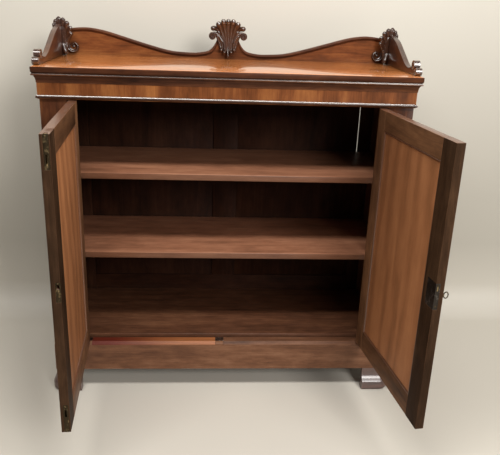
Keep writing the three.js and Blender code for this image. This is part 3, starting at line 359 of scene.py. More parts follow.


# Finishes: contrast, flame, pores, rub, grime and painted shade in hollows, roughness from and to, shine,
# coat, coat roughness
FINISHES = {
    "case": (0.95, 0.12, 0.5, 0.3, 0.7, 0.38, 0.55, 0.06, 0.02, 0.14),
    "inside": (0.8, 0.08, 0.7, 0.15, 0.6, 0.42, 0.62, 0.2, 0.04, 0.3),
    "shelf": (0.7, 0.05, 0.6, 0.15, 0.45, 0.42, 0.6, 0.25, 0.05, 0.3),
    "lip": (0.6, 0.05, 0.5, 0.3, 0.4, 0.36, 0.5, 0.3, 0.1, 0.25),
    "back": (0.8, 0.08, 0.7, 0.1, 0.8, 0.5, 0.7, 0.1, 0.0, 0.3),
    "top": (0.75, 0.15, 0.15, 0.2, 0.5, 0.18, 0.28, 0.35, 0.65, 0.05),
    "carved": (0.7, 0.05, 0.4, 0.3, 0.9, 0.3, 0.42, 0.12, 0.2, 0.1),
    "polished": (0.6, 0.05, 0.3, 0.25, 0.5, 0.2, 0.32, 0.5, 1.0, 0.24),
    "arris": (0.6, 0.05, 0.3, 0.25, 0.5, 0.2, 0.32, 0.4, 0.6, 0.24),
    "shell": (0.7, 0.05, 0.3, 0.3, 0.75, 0.4, 0.5, 0.1, 0.55, 0.28),
    "leaf": (0.7, 0.05, 0.3, 0.15, 0.75, 0.4, 0.5, 0.1, 0.55, 0.24),
    "frieze": (0.75, 0.3, 0.35, 0.3, 0.7, 0.4, 0.55, 0.04, 0.0, 0.14),
    "rolled": (0.6, 0.05, 0.3, 0.15, 1.0, 0.3, 0.42, 0.2, 1.0, 0.24),
    "stile": (0.9, 0.1, 0.5, 0.3, 0.7, 0.36, 0.5, 0.1, 0.04, 0.2),
    "side": (0.9, 0.05, 0.4, 0.3, 0.7, 0.28, 0.4, 0.25, 0.45, 0.14),
    "foot": (0.8, 0.05, 0.3, 0.3, 0.6, 0.45, 0.6, 0.15, 0.85, 0.34),
    "plinth": (0.75, 0.08, 0.5, 0.3, 0.7, 0.36, 0.52, 0.15, 0.06, 0.2),
    "satin": (0.5, 0.05, 0.3, 0.3, 0.4, 0.3, 0.4, 0.35, 0.4, 0.26),
    "door": (0.85, 0.08, 0.6, 0.35, 0.7, 0.38, 0.56, 0.1, 0.03, 0.22),
    "edge": (0.8, 0.0, 0.6, 0.3, 0.5, 0.5, 0.65, 0.04, 0.0, 0.3),
    "front": (0.9, 0.45, 0.35, 0.3, 0.7, 0.24, 0.36, 0.3, 0.35, 0.12),
    "panel": (0.42, 0.55, 0.4, 0.12, 0.9, 0.42, 0.6, 0.12, 0.02, 0.25),
}
# Finishes that take their colours from another one
SAME_COLOURS = {"polished": "carved", "arris": "carved", "shell": "carved", "leaf": "carved",
                "rolled": "carved", "frieze": "case", "front": "case", "satin": "lip", "stile": "side"}
# Polish over small forms: its colour and the strength of the grain's relief, beside those of other polish
SMOOTH_FINISHES = ("polished", "arris", "rolled", "shell")
WARM_COAT, CLEAR_COAT = (1.0, 0.9, 0.78), (1.0, 1.0, 1.0)
LOW_RELIEF, RELIEF = 0.04, 0.25
# Pieces with small hollows: how far the grime and painted shade reach and the polish's index, beside those of
# other pieces
FINE_REACH, REACH = 0.009, 0.035
FINE_INDEX, INDEX = 2.1, 1.5
FINE_FINISHES = ("polished", "arris", "shell", "leaf", "rolled", "foot", "side", "satin")
MADE = {}


def grain_turn(axis, body):
    """The turn that brings the grain to the mapping's X, on a board that lies along axis."""
    angle = door_angle(body) if body in ("left_door", "right_door") else 0.0
    turns = {"X": (0.0, 0.0, 0.0), "Y": (0.0, 0.0, math.pi / 2), "Z": (0.0, -math.pi / 2, 0.0)}
    about_x, about_y, about_z = turns[axis]
    return (about_x, about_y, about_z + angle)


def wood(finish, axis, log=0, body="carcass"):
    """The material of a board: its finish, the way its grain runs and the log that it was cut from."""
    name = f"{finish}_wood_{axis}_{log}" + ("" if body == "carcass" else f"_{body}")
    if name in MADE:
        return MADE[name]
    look = bpy.context.scene.chiffonier_finish
    contrast, flame, pores, rub, grime, smooth, rough, shine, coat, coat_rough = FINISHES[finish]
    colours = SAME_COLOURS.get(finish, finish)
    material, tree, place = new_material(name)
    turned = node(tree, "ShaderNodeMapping",
                  {"Vector": place, "Location": (0.37 * log, 0.61 * log, 0.29 * log),
                   "Rotation": grain_turn(axis, body)}, vector_type="TEXTURE").outputs[0]
    dyes = {shade.capitalize(): getattr(look, f"{colours}_{shade}") for shade, _ in SHADES}
    grain = node(tree, "ShaderNodeGroup",
                 {"Vector": turned, "Contrast": contrast, "Flame": flame, "Pores": pores, **dyes},
                 node_tree=group("grain"))
    reach = FINE_REACH if finish in FINE_FINISHES else REACH
    worn = node(tree, "ShaderNodeGroup", {"Vector": turned, "Rub": rub, "Grime": grime, "Reach": reach},
                node_tree=group("wear"))
    # Grime and painted shade darken the hollows, and rubbed edges show paler wood
    grimed_and_shaded = mix(tree, worn.outputs["Grimy"], grain.outputs["Color"], tuple(look.grime))
    finished = mix(tree, worn.outputs["Rubbed"], grimed_and_shaded, tuple(look.wear))
    dull = spread(tree, grain.outputs["Gloss"], 0.3, 0.7, smooth, rough)
    relief = LOW_RELIEF if finish in SMOOTH_FINISHES else RELIEF
    bump = node(tree, "ShaderNodeBump", {"Height": grain.outputs["Height"], "Strength": relief,
                                         "Distance": 0.0004})
    shader = node(tree, "ShaderNodeBsdfPrincipled", {
        "Base Color": finished, "Roughness": dull, "Specular IOR Level": shine, "Coat Weight": coat,
        "Coat Roughness": coat_rough, "Coat IOR": FINE_INDEX if finish in FINE_FINISHES else INDEX,
        "Coat Tint": WARM_COAT if finish in SMOOTH_FINISHES else CLEAR_COAT, "Normal": bump.outputs[0]})
    show(tree, shader)
    MADE[name] = material
    return material


def metal(kind, rubbed=False):
    """Brass or iron, dull but for a few rubbed spots, or rubbed bright all over."""
    name = f"{kind}_rubbed" if rubbed else kind
    if name in MADE:
        return MADE[name]
    look = bpy.context.scene.chiffonier_finish
    material, tree, place = new_material(name)
    spots = noise(tree, place, (160, 160, 160), 4, 0.65)
    clouds = noise(tree, place, (45, 45, 45), 3, 0.6)
    worn = node(tree, "ShaderNodeGroup", {"Vector": place, "Edge Radius": 0.001}, node_tree=group("wear"))
    patches = maths(tree, "ADD", maths(tree, "MULTIPLY", spots, 0.5), maths(tree, "MULTIPLY", clouds, 0.5))
    dulled = spread(tree, patches, *((0.45, 0.7) if rubbed else (0.3, 0.47)))
    clean = maths(tree, "SUBTRACT", dulled, worn.outputs["Rubbed"], clamp=True)
    base = mix(tree, clean, tuple(getattr(look, kind)), tuple(getattr(look, f"{kind}_dull")))
    # Grime and painted shade darken the hollows
    grimed_and_shaded = mix(tree, worn.outputs["Grimy"], base, tuple(look.grime))
    rough = spread(tree, dulled, 0.0, 1.0, 0.28, 0.5)
    bump = node(tree, "ShaderNodeBump", {"Height": spots, "Strength": 0.2, "Distance": 0.0002})
    shader = node(tree, "ShaderNodeBsdfPrincipled",
                  {"Base Color": grimed_and_shaded, "Metallic": 1.0, "Roughness": rough, "Normal": bump.outputs[0]})
    show(tree, shader)
    MADE[name] = material
    return material


def strip_paint():
    """Old stain on the let-in strip: dark red at its left end, orange at its right end."""
    look = bpy.context.scene.chiffonier_finish
    material, tree, place = new_material("strip_stain")
    across = node(tree, "ShaderNodeSeparateXYZ", {"Vector": place}).outputs["X"]
    cloud = maths(tree, "MULTIPLY", noise(tree, place, (9, 60, 60), 3), 0.12)
    base = mix(tree, spread(tree, maths(tree, "ADD", across, cloud), -0.3, -0.08), tuple(look.strip_left),
               tuple(look.strip_right))
    streaks = spread(tree, noise(tree, place, (12, 260, 260), 3, 0.6), 0.35, 0.65, 0.75, 1.0)
    shaded = node(tree, "ShaderNodeVectorMath", {0: base, 1: streaks}, operation="MULTIPLY").outputs[0]
    bump = node(tree, "ShaderNodeBump", {"Height": streaks, "Strength": 0.2, "Distance": 0.0003})
    shader = node(tree, "ShaderNodeBsdfPrincipled", {
        "Base Color": shaded, "Roughness": 0.4, "Specular IOR Level": 0.3, "Normal": bump.outputs[0]})
    show(tree, shader)
    return material


# Mesh helpers

# The turn, in degrees, from which an edge counts as sharp, and the distance that closes a seam
CREASE, SEAM = 38, 0.00002
# How squarely a face has to look one way to take the finish of that side
SQUARE = 0.8


def only(geometry, kind):
    """The items of one kind among an operator's results."""
    return [item for item in geometry if isinstance(item, kind)]


def finish_piece(name, bm, material, body="carcass", slot="mahogany", replaces=(), crease=CREASE,
                 recalculate=True):
    """Turns a bmesh into a piece of the chiffonier that rides on a body."""
    bmesh.ops.remove_doubles(bm, verts=bm.verts, dist=SEAM)
    if recalculate:
        bmesh.ops.recalc_face_normals(bm, faces=bm.faces)
    mesh = bpy.data.meshes.new(name)
    bm.to_mesh(mesh)
    bm.free()
    return place_mesh(name, mesh, material, body, replaces, crease)


def place_mesh(name, mesh, material, body, replaces=(), crease=CREASE):
    """Shows a mesh as a piece that rides on a body, with edges sharp where they turn more than the crease."""
    mesh.shade_smooth()
    mesh.set_sharp_from_angle(angle=math.radians(crease))
    piece = bpy.data.objects.new(name, mesh)
    bpy.context.scene.collection.objects.link(piece)
    piece.data.materials.append(material)
    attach(piece, body)
    if replaces:
        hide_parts(*replaces)
    return piece


def axes(place, u, v, w):
    """The matrix that carries the X, Y and Z axes to u, v and w at a place."""
    matrix = Matrix((u, v, w)).transposed().to_4x4()
    matrix.translation = place
    return matrix


def outline_face(bm, points):
    """One flat face through the points."""
    return bm.faces.new([bm.verts.new(point) for point in points])


def raise_face(bm, face, move):
    """Extrudes a face and moves its copy, so that the two make a solid."""
    made = bmesh.ops.extrude_face_region(bm, geom=[face])["geom"]
    bmesh.ops.translate(bm, vec=move, verts=only(made, bmesh.types.BMVert))


def sweep(bm, profile, stations):
    """Extrudes a closed profile from station to station and caps both ends.

    Profile points are (across, forward), and each station is a matrix that places them.
    """
    verts = [bm.verts.new((u, v, 0)) for u, v in profile]
    face = bm.faces.new(verts)
    bmesh.ops.transform(bm, matrix=stations[0], verts=verts)
    edges = list(face.edges)
    for before, after in zip(stations, stations[1:]):
        made = bmesh.ops.extrude_edge_only(bm, edges=edges)["geom"]
        moved = only(made, bmesh.types.BMVert)
        fresh = set(moved)
        edges = [edge for edge in only(made, bmesh.types.BMEdge) if fresh.issuperset(edge.verts)]
        bmesh.ops.transform(bm, matrix=after @ before.inverted(), verts=moved)
    bmesh.ops.contextual_create(bm, geom=edges)


def swept(name, profile, stations, material, **rest):
    """A piece that one sweep makes."""
    bm = bmesh.new()
    sweep(bm, profile, stations)
    return finish_piece(name, bm, material, **rest)


def circle(count):
    """A round profile of radius one."""
    angles = [2 * math.pi * i / count for i in range(count)]
    return [(math.cos(angle), math.sin(angle)) for angle in angles]


def shares(count):
    """The shares from 0 to 1 of a line that is cut into so many steps."""
    return [i / count for i in range(count + 1)]


def straight(start, end, share):
    """The place at a share of the way between two points."""
    return [a + (b - a) * share for a, b in zip(start, end)]


def bowed(start, bend, end, share):
    """The place at a share of a bow from start to end that leans towards bend."""
    return [(1 - share) ** 2 * a + 2 * share * (1 - share) * b + share * share * c
            for a, b, c in zip(start, bend, end)]


def curve_through(points, steps):
    """A smooth line through the points."""
    points = [Vector(point) for point in points]
    last = len(points) - 1
    line = []
    for i in range(steps + 1):
        place = last * i / steps
        index = min(int(place), last - 1)
        t = place - index
        p0 = points[index] if index == 0 else points[index - 1]
        p1, p2 = points[index], points[index + 1]
        p3 = points[index + 1] if index > last - 2 else points[index + 2]
        v0, v1 = (p2 - p0) / 2, (p3 - p1) / 2
        cubic, square = 2 * p1 - 2 * p2 + v0 + v1, 3 * p2 - 3 * p1 - 2 * v0 - v1
        line.append(cubic * t ** 3 + square * t ** 2 + v0 * t + p1)
    return line


def quarter(u0, v0, u1, v1, steps=8):
    """A quarter of an ellipse between two points, leaving the first along v."""
    angles = [math.pi / 2 * i / steps for i in range(steps + 1)]
    return [(u1 + (u0 - u1) * math.cos(angle), v0 + (v1 - v0) * math.sin(angle)) for angle in angles]


def lifted(profile, height):
    """A profile, whose points are (out, up), set at a height."""
    return [(out, height + up) for out, up in profile]


def petal(bm, line, widths, depths, sides=12):
    """A carved petal along a line, with its half widths and half depths given as shares along it."""
    count = len(line)
    stations = []
    for i, place in enumerate(line):
        run = (line[min(i + 1, count - 1)] - line[max(i - 1, 0)]).normalized()
        across = run.cross(-BACK).normalized()
        out = across.cross(run).normalized()
        stations.append(axes(place, across * widths[i], out * depths[i], run))
    sweep(bm, circle(sides), stations)


def bulge(count, root, widest, swell, tip):
    """Half widths that grow from a narrow root to the share swell of the length, and close in a round tip."""
    values = []
    for t in shares(count - 1):
        if t < swell:
            s = t / swell
            values.append(root + (widest - root) * (3 * s * s - 2 * s ** 3))
        else:
            s = (t - swell) / (1 - swell)
            values.append(widest * max(math.sqrt(max(1 - s * s, 0)), tip))
    return values


def lobe(bm, line, width, depth, swell, tip=0.2, sides=12):
    """A petal whose half width and half depth both grow from the root's to the widest."""
    petal(bm, line, bulge(len(line), *width, swell, tip), bulge(len(line), *depth, swell, tip), sides)


def fused(bm, cell):
    """Joins crossing petals into one carved surface."""
    bmesh.ops.recalc_face_normals(bm, faces=bm.faces)
    mesh = bpy.data.meshes.new("petals")
    bm.to_mesh(mesh)
    bm.free()
    block = bpy.data.objects.new("petals", mesh)
    bpy.context.scene.collection.objects.link(block)
    shape = block.modifiers.new("Join", "REMESH")
    shape.mode = "VOXEL"
    shape.voxel_size = cell
    soften = block.modifiers.new("Soften", "SMOOTH")
    soften.iterations = 3
    soften.factor = 0.5
    graph = bpy.context.evaluated_depsgraph_get()
    carved = bpy.data.meshes.new_from_object(block.evaluated_get(graph))
    carved.materials.clear()
    bpy.data.objects.remove(block)
    bpy.data.meshes.remove(mesh)
    return carved


def door_angle(body):
    """How far a door is turned from shut, as it stands."""
    low, high = JOINTS[f"{body}_hinge"]["range_deg"]
    return math.radians(-high if body == "left_door" else -low)


def door_place(body):
    """The turn about the hinge pin that carries a shut door to where it stands."""
    pin = Matrix.Translation(Vector(JOINTS[f"{body}_hinge"]["pos_m"]))
    return pin @ Matrix.Rotation(door_angle(body), 4, "Z") @ pin.inverted()


def carry(nodes, material, slot, softness, second=None, towards=None, rim=None):
    """Shows a CAD piece with its own finish and softened edges.

    Faces turned towards take the second finish, and the softened edges take the finish rim.
    """
    for name in nodes:
        piece = frame["nodes"][name]
        piece.data.materials.clear()
        piece.data.materials.append(material)
        if second:
            piece.data.materials.append(second)
            for polygon in piece.data.polygons:
                polygon.material_index = 1 if polygon.normal.dot(towards) > SQUARE else 0
        piece.data.shade_smooth()
        if not softness:
            piece.data.set_sharp_from_angle(angle=math.radians(CREASE))
            continue
        weld = piece.modifiers.new("Weld", "WELD")
        weld.merge_threshold = 0.00001
        flatten = piece.modifiers.new("Flatten", "DECIMATE")
        flatten.decimate_type = "DISSOLVE"
        flatten.angle_limit = math.radians(0.5)
        bevel = piece.modifiers.new("Soften", "BEVEL")
        bevel.width = softness
        bevel.segments = 2
        bevel.limit_method = "ANGLE"
        bevel.angle_limit = math.radians(CREASE)
        bevel.harden_normals = True
        if rim:
            piece.data.materials.append(rim)
            bevel.material = len(piece.data.materials) - 1


def refinish(name, towards, material):
    """Gives the faces of a CAD piece that look one way a finish of their own."""
    mesh = frame["nodes"][name].data
    mesh.materials.append(material)
    for polygon in mesh.polygons:
        if polygon.normal.dot(towards) > SQUARE:
            polygon.material_index = len(mesh.materials) - 1


# Operators


class CHIFFONIER_OT_case(bpy.types.Operator):
    """Finish the boards of the case and soften their edges"""

    bl_idname = "chiffonier.case"
    bl_label = "Case Boards"

    def execute(self, context):
        finish = context.scene.chiffonier_finish
        soft = finish.edge_softness
        for number, (label, side) in enumerate(SIDES):
            carry([f"side_board_{label}"], wood("inside", "Z", 1 + number), "mahogany", soft,
                  wood("case", "Z", 2 + number), Vector((side, 0, 0)))
            # The back stiles and panels take the near-black Back colours: painted shade
            boards = (("front_stile", "stile", "Z", 3 + number), ("back_stile", "back", "Z", 5 + number),
                      ("back_panel", "back", "Z", 7 + number), ("foot_back", "case", "Z", 9),
                      ("plinth", "plinth", "Y", 10))
            for part, look, axis, log in boards:
                carry([f"{part}_{label}"], wood(look, axis, log), "mahogany", soft)
        carry(["bottom_board"], wood("inside", "X", 11), "mahogany", soft)
        # Painted light: the shelves' tops take the lighter Shelf colours; their front edges take the Shelf
        # edge colours
        for number, name in enumerate(["shelf_lower", "shelf_upper"]):
            log = 12 + number
            carry([name], wood("shelf", "X", log), "mahogany", soft, wood("lip", "X", log), -BACK)
        # The back's rails and muntin: painted shade in the near-black Back colours
        carry(["back_top_rail", "back_bottom_rail"], wood("back", "X", 14), "mahogany", soft)
        carry(["back_muntin"], wood("back", "Z", 15), "mahogany", soft)
        carry(["plinth_front"], wood("plinth", "X", 16), "mahogany", 0)
        # Painted light and shade: the slab's top takes the light Top colours, its front and ends the dark
        # stile colours
        carry(["slab"], wood("stile", "X", 17), "polished_mahogany", finish.slab_edge_softness,
              wood("top", "X", 17), UP, wood("polished", "X", 17))
        carry(["frieze_front"], wood("frieze", "Z", 18), "mahogany", soft)
        return {"FINISHED"}


def polish_steep(name, material):
    """Gives the oblique facets of a moulding, which look up and out, a higher polish."""
    mesh = bpy.data.objects[name].data
    mesh.materials.append(material)
    for polygon in mesh.polygons:
        if 0.3 < polygon.normal.z < 0.8:
            polygon.material_index = 1


# The beads under the frieze, as (out from the case, up from the bead's foot), and how high that foot is
SIDE_BEAD = ((0.004, 0), (0.0068, 0), (0.0077, 0.0006), (0.0077, 0.0018), (0.0045, 0.0071), (0.004, 0.0078))
FRONT_BEAD = ((0.0025, 0), (0.0065, 0), (0.0078, 0.001), (0.0084, 0.0035), (0.008, 0.005), (0.0058, 0.0083),
              (0.004, 0.0088), (0.0025, 0.0088))
BEAD_RISE = 0.0022


class CHIFFONIER_OT_cornice(bpy.types.Operator):
    """Run the moulding under the slab along the front and both sides, mitred at the corners"""

    bl_idname = "chiffonier.cornice"
    bl_label = "Cornice"

    def execute(self, context):
        low, high = (corner[2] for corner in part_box("cornice_front"))
        frieze_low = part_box("frieze_return_right")[0][2]
        bead_low, proud = frieze_low + BEAD_RISE, SIDE_BEAD[0][0]
        # A cove that ends in a lip, whose edges are eased
        face, cove_out, cove_rise, lip, ease = 0.005, 0.0125, 0.02, 0.0145, 0.0008
        cove = lifted(quarter(face, 0, cove_out, cove_rise, 10), low)
        cornice = [(0, low), *cove, (lip, low + cove_rise), (lip + ease, low + cove_rise + ease),
                   (lip + ease, high - 0.003), (lip + 0.0005, high - 0.0023), (lip - ease, high - 0.0002),
                   (lip - ease, high), (0, high)]
        bead = lifted(SIDE_BEAD, bead_low)
        side_profile = [(0, frieze_low), (proud, frieze_low), *bead, (proud, low), *cornice[1:]]
        stations = [axes(Vector((side * BODY_HALF, FRONT, 0)), Vector((side, -1, 0)), UP, RIGHT)
                    for _, side in SIDES]
        for name, profile, look, log, stood_for in (
                ("cornice_mould_front", cornice, "stile", 19, ["cornice_front"]),
                ("frieze_bead_front", lifted(FRONT_BEAD, bead_low), "carved", 18, [])):
            swept(name, profile, stations, wood(look, "X", log), replaces=stood_for)
            polish_steep(name, wood("arris", "X", log))
        for label, side in SIDES:
            x = side * BODY_HALF
            ends = [axes(Vector((x, FRONT + CLEAR, 0)), Vector((side, -1, 0)), UP, BACK),
                    axes(Vector((x, SLAB_HIGH[1], 0)), Vector((side, 0, 0)), UP, BACK)]
            swept(f"frieze_mould_{label}", side_profile, ends, wood("case", "Y", 20),
                  replaces=[f"frieze_return_{label}"])
            polish_steep(f"frieze_mould_{label}", wood("arris", "Y", 20))
        return {"FINISHED"}


# The gallery's top line, as shares of the board's half width and of the gallery's rise
GALLERY_SHARES = (
    (0.07, 0.674), (0.078, 0.57), (0.098, 0.39), (0.128, 0.267), (0.189, 0.198), (0.247, 0.192),
    (0.359, 0.244), (0.487, 0.43), (0.608, 0.64), (0.7325, 0.86), (0.802, 0.953), (0.868, 1), (0.93, 0.985),
    (1, 0.93))
# The tab that carries the crest, as (across, up from the board's foot)
TAB = ((0, 0.1), (0.03, 0.096), (0.034, 0.08))
# The moulding along the gallery's edge, as shares of its width and of how far it stands forward
EDGE_SHARES = ((0, 0.45), (-0.09, 0.75), (-0.25, 0.97), (-0.4, 1), (-0.56, 0.9), (-0.68, 0.6), (-0.72, 0.36),
               (-0.78, 0.3), (-0.9, 0.26), (-1, 0.12))


def gallery_line():
    """The gallery's top line from the crest's neck to the corner, as (across, up)."""
    half, bottom = BOARD_HIGH[0], BOARD_LOW[2]
    return curve_through([(x * half, bottom + z * GALLERY_RISE) for x, z in GALLERY_SHARES], 96)


def edge_path(run):
    """The stations of the moulding along a line: place, normal, direction and size."""
    path = []
    for i, place in enumerate(run):
        ahead = (run[min(i + 1, len(run) - 1)] - run[max(i - 1, 0)]).normalized()
        path.append((place, Vector((-ahead.y, ahead.x)), ahead, min(0.35 + 0.05 * i, 1.0)))
    return path


def scroll_path(centre, outer, inner):
    """The stations of the scroll: down to the height of its centre, then round from the outer radius."""
    path = []
    lead, step, drift = 8, 0.0035, 0.0006
    for i in range(lead):
        place = centre + Vector((outer - drift * (lead - 1 - i), step * (lead - i)))
        path.append((place, Vector((1, 0)), Vector((0, -1)), 0.45 + 0.08 * i))
    for share in shares(44):
        angle = -share * math.radians(330)
        normal = Vector((math.cos(angle), math.sin(angle)))
        place = centre + normal * (outer + share * (inner - outer))
        path.append((place, normal, Vector((normal.y, -normal.x)), 1.1 - 0.55 * share))
    return path


class CHIFFONIER_OT_gallery(bpy.types.Operator):
    """Cut the gallery's back board and carve the moulding that ends in a scroll at each corner"""

    bl_idname = "chiffonier.gallery"
    bl_label = "Gallery Back"

    def execute(self, context):
        sizes = context.scene.chiffonier_carving
        half, bottom, back = BOARD_HIGH[0], BOARD_LOW[2], BOARD_HIGH[1]
        face = SLAB_HIGH[1] - BOARD_DEPTH
        line = gallery_line()
        edge = [Vector((x, bottom + z)) for x, z in TAB] + line
        outline = [(-half, bottom), *[(-p.x, p.y) for p in reversed(edge)], *[(p.x, p.y) for p in edge[1:]],
                   (half, bottom)]
        bm = bmesh.new()
        raise_face(bm, outline_face(bm, [(x, face, z) for x, z in outline]), (0, back - face, 0))
        finish_piece("gallery_board", bm, wood("case", "X", 21), replaces=["gallery_back"], crease=30)
        width, proud, let_in = sizes.edge_width, sizes.edge_proud, 0.004
        profile = [(0, -let_in), *[(u * width, v * proud) for u, v in EDGE_SHARES], (-width, -let_in)]
        centre = Vector((half - sizes.scroll_radius - 0.001, bottom + 0.0265))
        scroll = scroll_path(centre, sizes.scroll_radius, sizes.scroll_end_radius)
        # The moulding starts a few steps down from the crest's neck
        paths = (("gallery_edge", edge_path(line[3:]), 1.0, "stile"), ("gallery_scroll", scroll, 1.7, "leaf"))
        for label, side in SIDES:
            for name, path, swell, look in paths:
                stations = [axes(Vector((side * p.x, face, p.y)), Vector((side * n.x, 0, n.y)) * size,
                                 Vector((0, -swell, 0)) * size, Vector((side * a.x, 0, a.y)))
                            for p, n, a, size in path]
                swept(f"{name}_{label}", profile, stations, wood(look, "X", 22), slot="carved_mahogany",
                      crease=50)
            bm = bmesh.new()
            eye = bmesh.ops.create_uvsphere(bm, u_segments=20, v_segments=10, radius=sizes.scroll_eye_radius)
            bmesh.ops.scale(bm, vec=(1, 0.9, 1), verts=eye["verts"])
            bmesh.ops.translate(bm, vec=(side * centre.x, face, centre.y), verts=eye["verts"])
            finish_piece(f"gallery_button_{label}", bm, wood("leaf", "X", 22), slot="carved_mahogany")
        return {"FINISHED"}


# The top line of the gallery's sides, as shares from their front to their back and of the gallery's rise
SIDE_SHARES = ((1, 1.13), (0.81, 0.98), (0.72, 0.86), (0.634, 0.7), (0.508, 0.47), (0.41, 0.29), (0.32, 0.2),
               (0.27, 0.19))
# The sides' thickness, how far behind the slab's front they start, and where the rolls stand from there
SIDE_THICKNESS, SIDE_START, UPPER_ROLL, LOWER_ROLL = 0.016, 0.023, (0.048, 0.027), 0.02
# A roll's sides, its length, and a reach round its middle that holds no other vertex when it is made
ROLL_SIDES, ROLL_LENGTH, ROLL_REACH = 40, 0.018, 0.03
# The rings cut into a roll's ends: inset, inset as a share of the radius, and rise
ROLL_RINGS = ((0.0008, 0, 0.0), (0.0012, 0, -0.0009), (0, 0.2, 0.0), (0.0012, 0, 0.001), (0, 0.22, 0.0),
              (0.0008, 0, -0.0008))


def add_roll(bm, x, y, z, radius):
    """A roll across a side board, with rings cut into both of its ends."""
    made = bmesh.ops.create_cone(bm, cap_ends=True, segments=ROLL_SIDES, radius1=radius, radius2=radius,
                                 depth=ROLL_LENGTH)
    around = set(made["verts"])
    for cap in [face for face in bm.faces if len(face.verts) == ROLL_SIDES and around.issuperset(face.verts)]:
        out = cap.normal.copy()
        for inset, share, rise in ROLL_RINGS:
            bmesh.ops.inset_region(bm, faces=[cap], thickness=inset + share * radius, use_even_offset=True)
            bmesh.ops.translate(bm, vec=out * rise, verts=cap.verts)
    roll = {vert for vert in bm.verts if vert.co.length < ROLL_REACH}
    for face in bm.faces:
        if roll.issuperset(face.verts):
            face.material_index = 1
    turn = Matrix.Translation((x, y, z)) @ Matrix.Rotation(math.pi / 2, 4, "Y")
    bmesh.ops.transform(bm, matrix=turn, verts=list(roll))


class CHIFFONIER_OT_gallery_sides(bpy.types.Operator):
    """Cut the gallery's side boards, with the double roll at the front"""

    bl_idname = "chiffonier.gallery_sides"
    bl_label = "Gallery Sides"

    def execute(self, context):
        sizes = context.scene.chiffonier_carving
        bottom = SLAB_HIGH[2]
        back, front = SLAB_HIGH[1] - LEAF_DEPTH - CLEAR, SLAB_LOW[1] + SIDE_START
        line = [(front + y * (back - front), bottom + z * GALLERY_RISE) for y, z in SIDE_SHARES]
        top = curve_through(line, 40)
        upper_y, upper_z = front + UPPER_ROLL[0], bottom + UPPER_ROLL[1]
        lower_y, lower_z = front + LOWER_ROLL, bottom + sizes.lower_roll_radius
        outline = [(back, bottom), *[(p.x, p.y) for p in top], (upper_y, upper_z), (lower_y, bottom)]
        for label, side in SIDES:
            outer = side * SLAB_HIGH[0]
            bm = bmesh.new()
            face = outline_face(bm, [(outer, y, z) for y, z in outline])
            raise_face(bm, face, (-side * SIDE_THICKNESS, 0, 0))
            bmesh.ops.recalc_face_normals(bm, faces=bm.faces)
            sharp = [edge for edge in bm.edges if len(edge.link_faces) == 2 and edge.calc_face_angle(0) > 1.2]
            bmesh.ops.bevel(bm, geom=sharp, offset=0.0022, affect="EDGES", segments=3, profile=0.5,
                            material=-1)
            middle = outer - side * SIDE_THICKNESS / 2
            add_roll(bm, middle, upper_y, upper_z, sizes.upper_roll_radius)
            add_roll(bm, middle, lower_y, lower_z, sizes.lower_roll_radius)
            board = finish_piece(f"gallery_side_board_{label}", bm, wood("side", "Y", 23),
                                 replaces=[f"gallery_side_{label}"], crease=42)
            board.data.materials.append(wood("rolled", "Y", 23))
        return {"FINISHED"}


# The crest's shield, as shares of its half width and height
SHIELD = ((0.16, 0.19), (0.36, 0.23), (0.46, 0.32), (0.52, 0.42), (0.58, 0.53), (0.6, 0.63), (0.46, 0.74),
          (0.2, 0.8))
# Each petal of the fan: root, bend and tip as (across, up), half width, and how far forward the tip reaches
FAN = (((0, 0.2), (0, 0.6), (0, 0.965), 0.13, 1.0),
       ((0.09, 0.2), (0.08, 0.62), (0.28, 0.955), 0.14, 1.05),
       ((0.17, 0.22), (0.14, 0.6), (0.56, 0.885), 0.15, 1.05),
       ((0.24, 0.4), (0.42, 0.8), (0.86, 0.72), 0.125, 0.8),
       ((0.27, 0.24), (0.3, 0.44), (0.52, 0.7), 0.1, 0.34),
       ((0.37, 0.28), (0.43, 0.42), (0.58, 0.6), 0.09, 0.4))
# The long tongue and the small beads that hang below: root and tip as (across, up), and half width
BEADS = (((0, 0.3), (0, 0.015), 0.055), ((0.13, 0.24), (0.2, 0.125), 0.08),
         ((0.26, 0.28), (0.37, 0.185), 0.08))
# The middle of a volute, and the arm that joins it to the shield
VOLUTE = (0.79, 0.545)
ARM = ((0.3, 0.42), (0.42, 0.52), (0.54, 0.59), (0.66, 0.622), (0.8, 0.625))
# A volute's outer radius, what it loses on the way in, and the radii of its disc and of its eye
VOLUTE_RADIUS, VOLUTE_LOSS, DISC_RADIUS, EYE_RADIUS = 0.0114, 0.0072, 0.0112, 0.0028


def mirrored(tip):
    """Both sides for a petal that leans, and one for a petal that stands in the middle."""
    return (1, -1) if tip[0] else (1,)


def add_volute(bm, centre, side, depth):
    """A band that winds in over a disc, with a round eye."""
    line, widths = [], []
    for share in shares(48):
        angle = math.radians(80 - 500 * share)
        radius = VOLUTE_RADIUS - VOLUTE_LOSS * share
        line.append(centre + Vector((side * radius * math.cos(angle), -0.4 * depth - 0.16 * depth * share,
                                     radius * math.sin(angle))))
        widths.append(0.0019 - 0.0006 * share)
    petal(bm, line, widths, [0.34 * depth] * len(line))
    eye = bmesh.ops.create_uvsphere(bm, u_segments=16, v_segments=10, radius=EYE_RADIUS)
    bmesh.ops.translate(bm, vec=centre + Vector((0, -0.5 * depth, 0)), verts=eye["verts"])
    disc = bmesh.ops.create_cone(bm, cap_ends=True, segments=28, radius1=DISC_RADIUS, radius2=DISC_RADIUS,
                                 depth=0.66 * depth)
    bmesh.ops.transform(bm, matrix=Matrix.Translation(centre + Vector((0, -0.33 * depth, 0)))
                        @ Matrix.Rotation(math.pi / 2, 4, "X"), verts=disc["verts"])


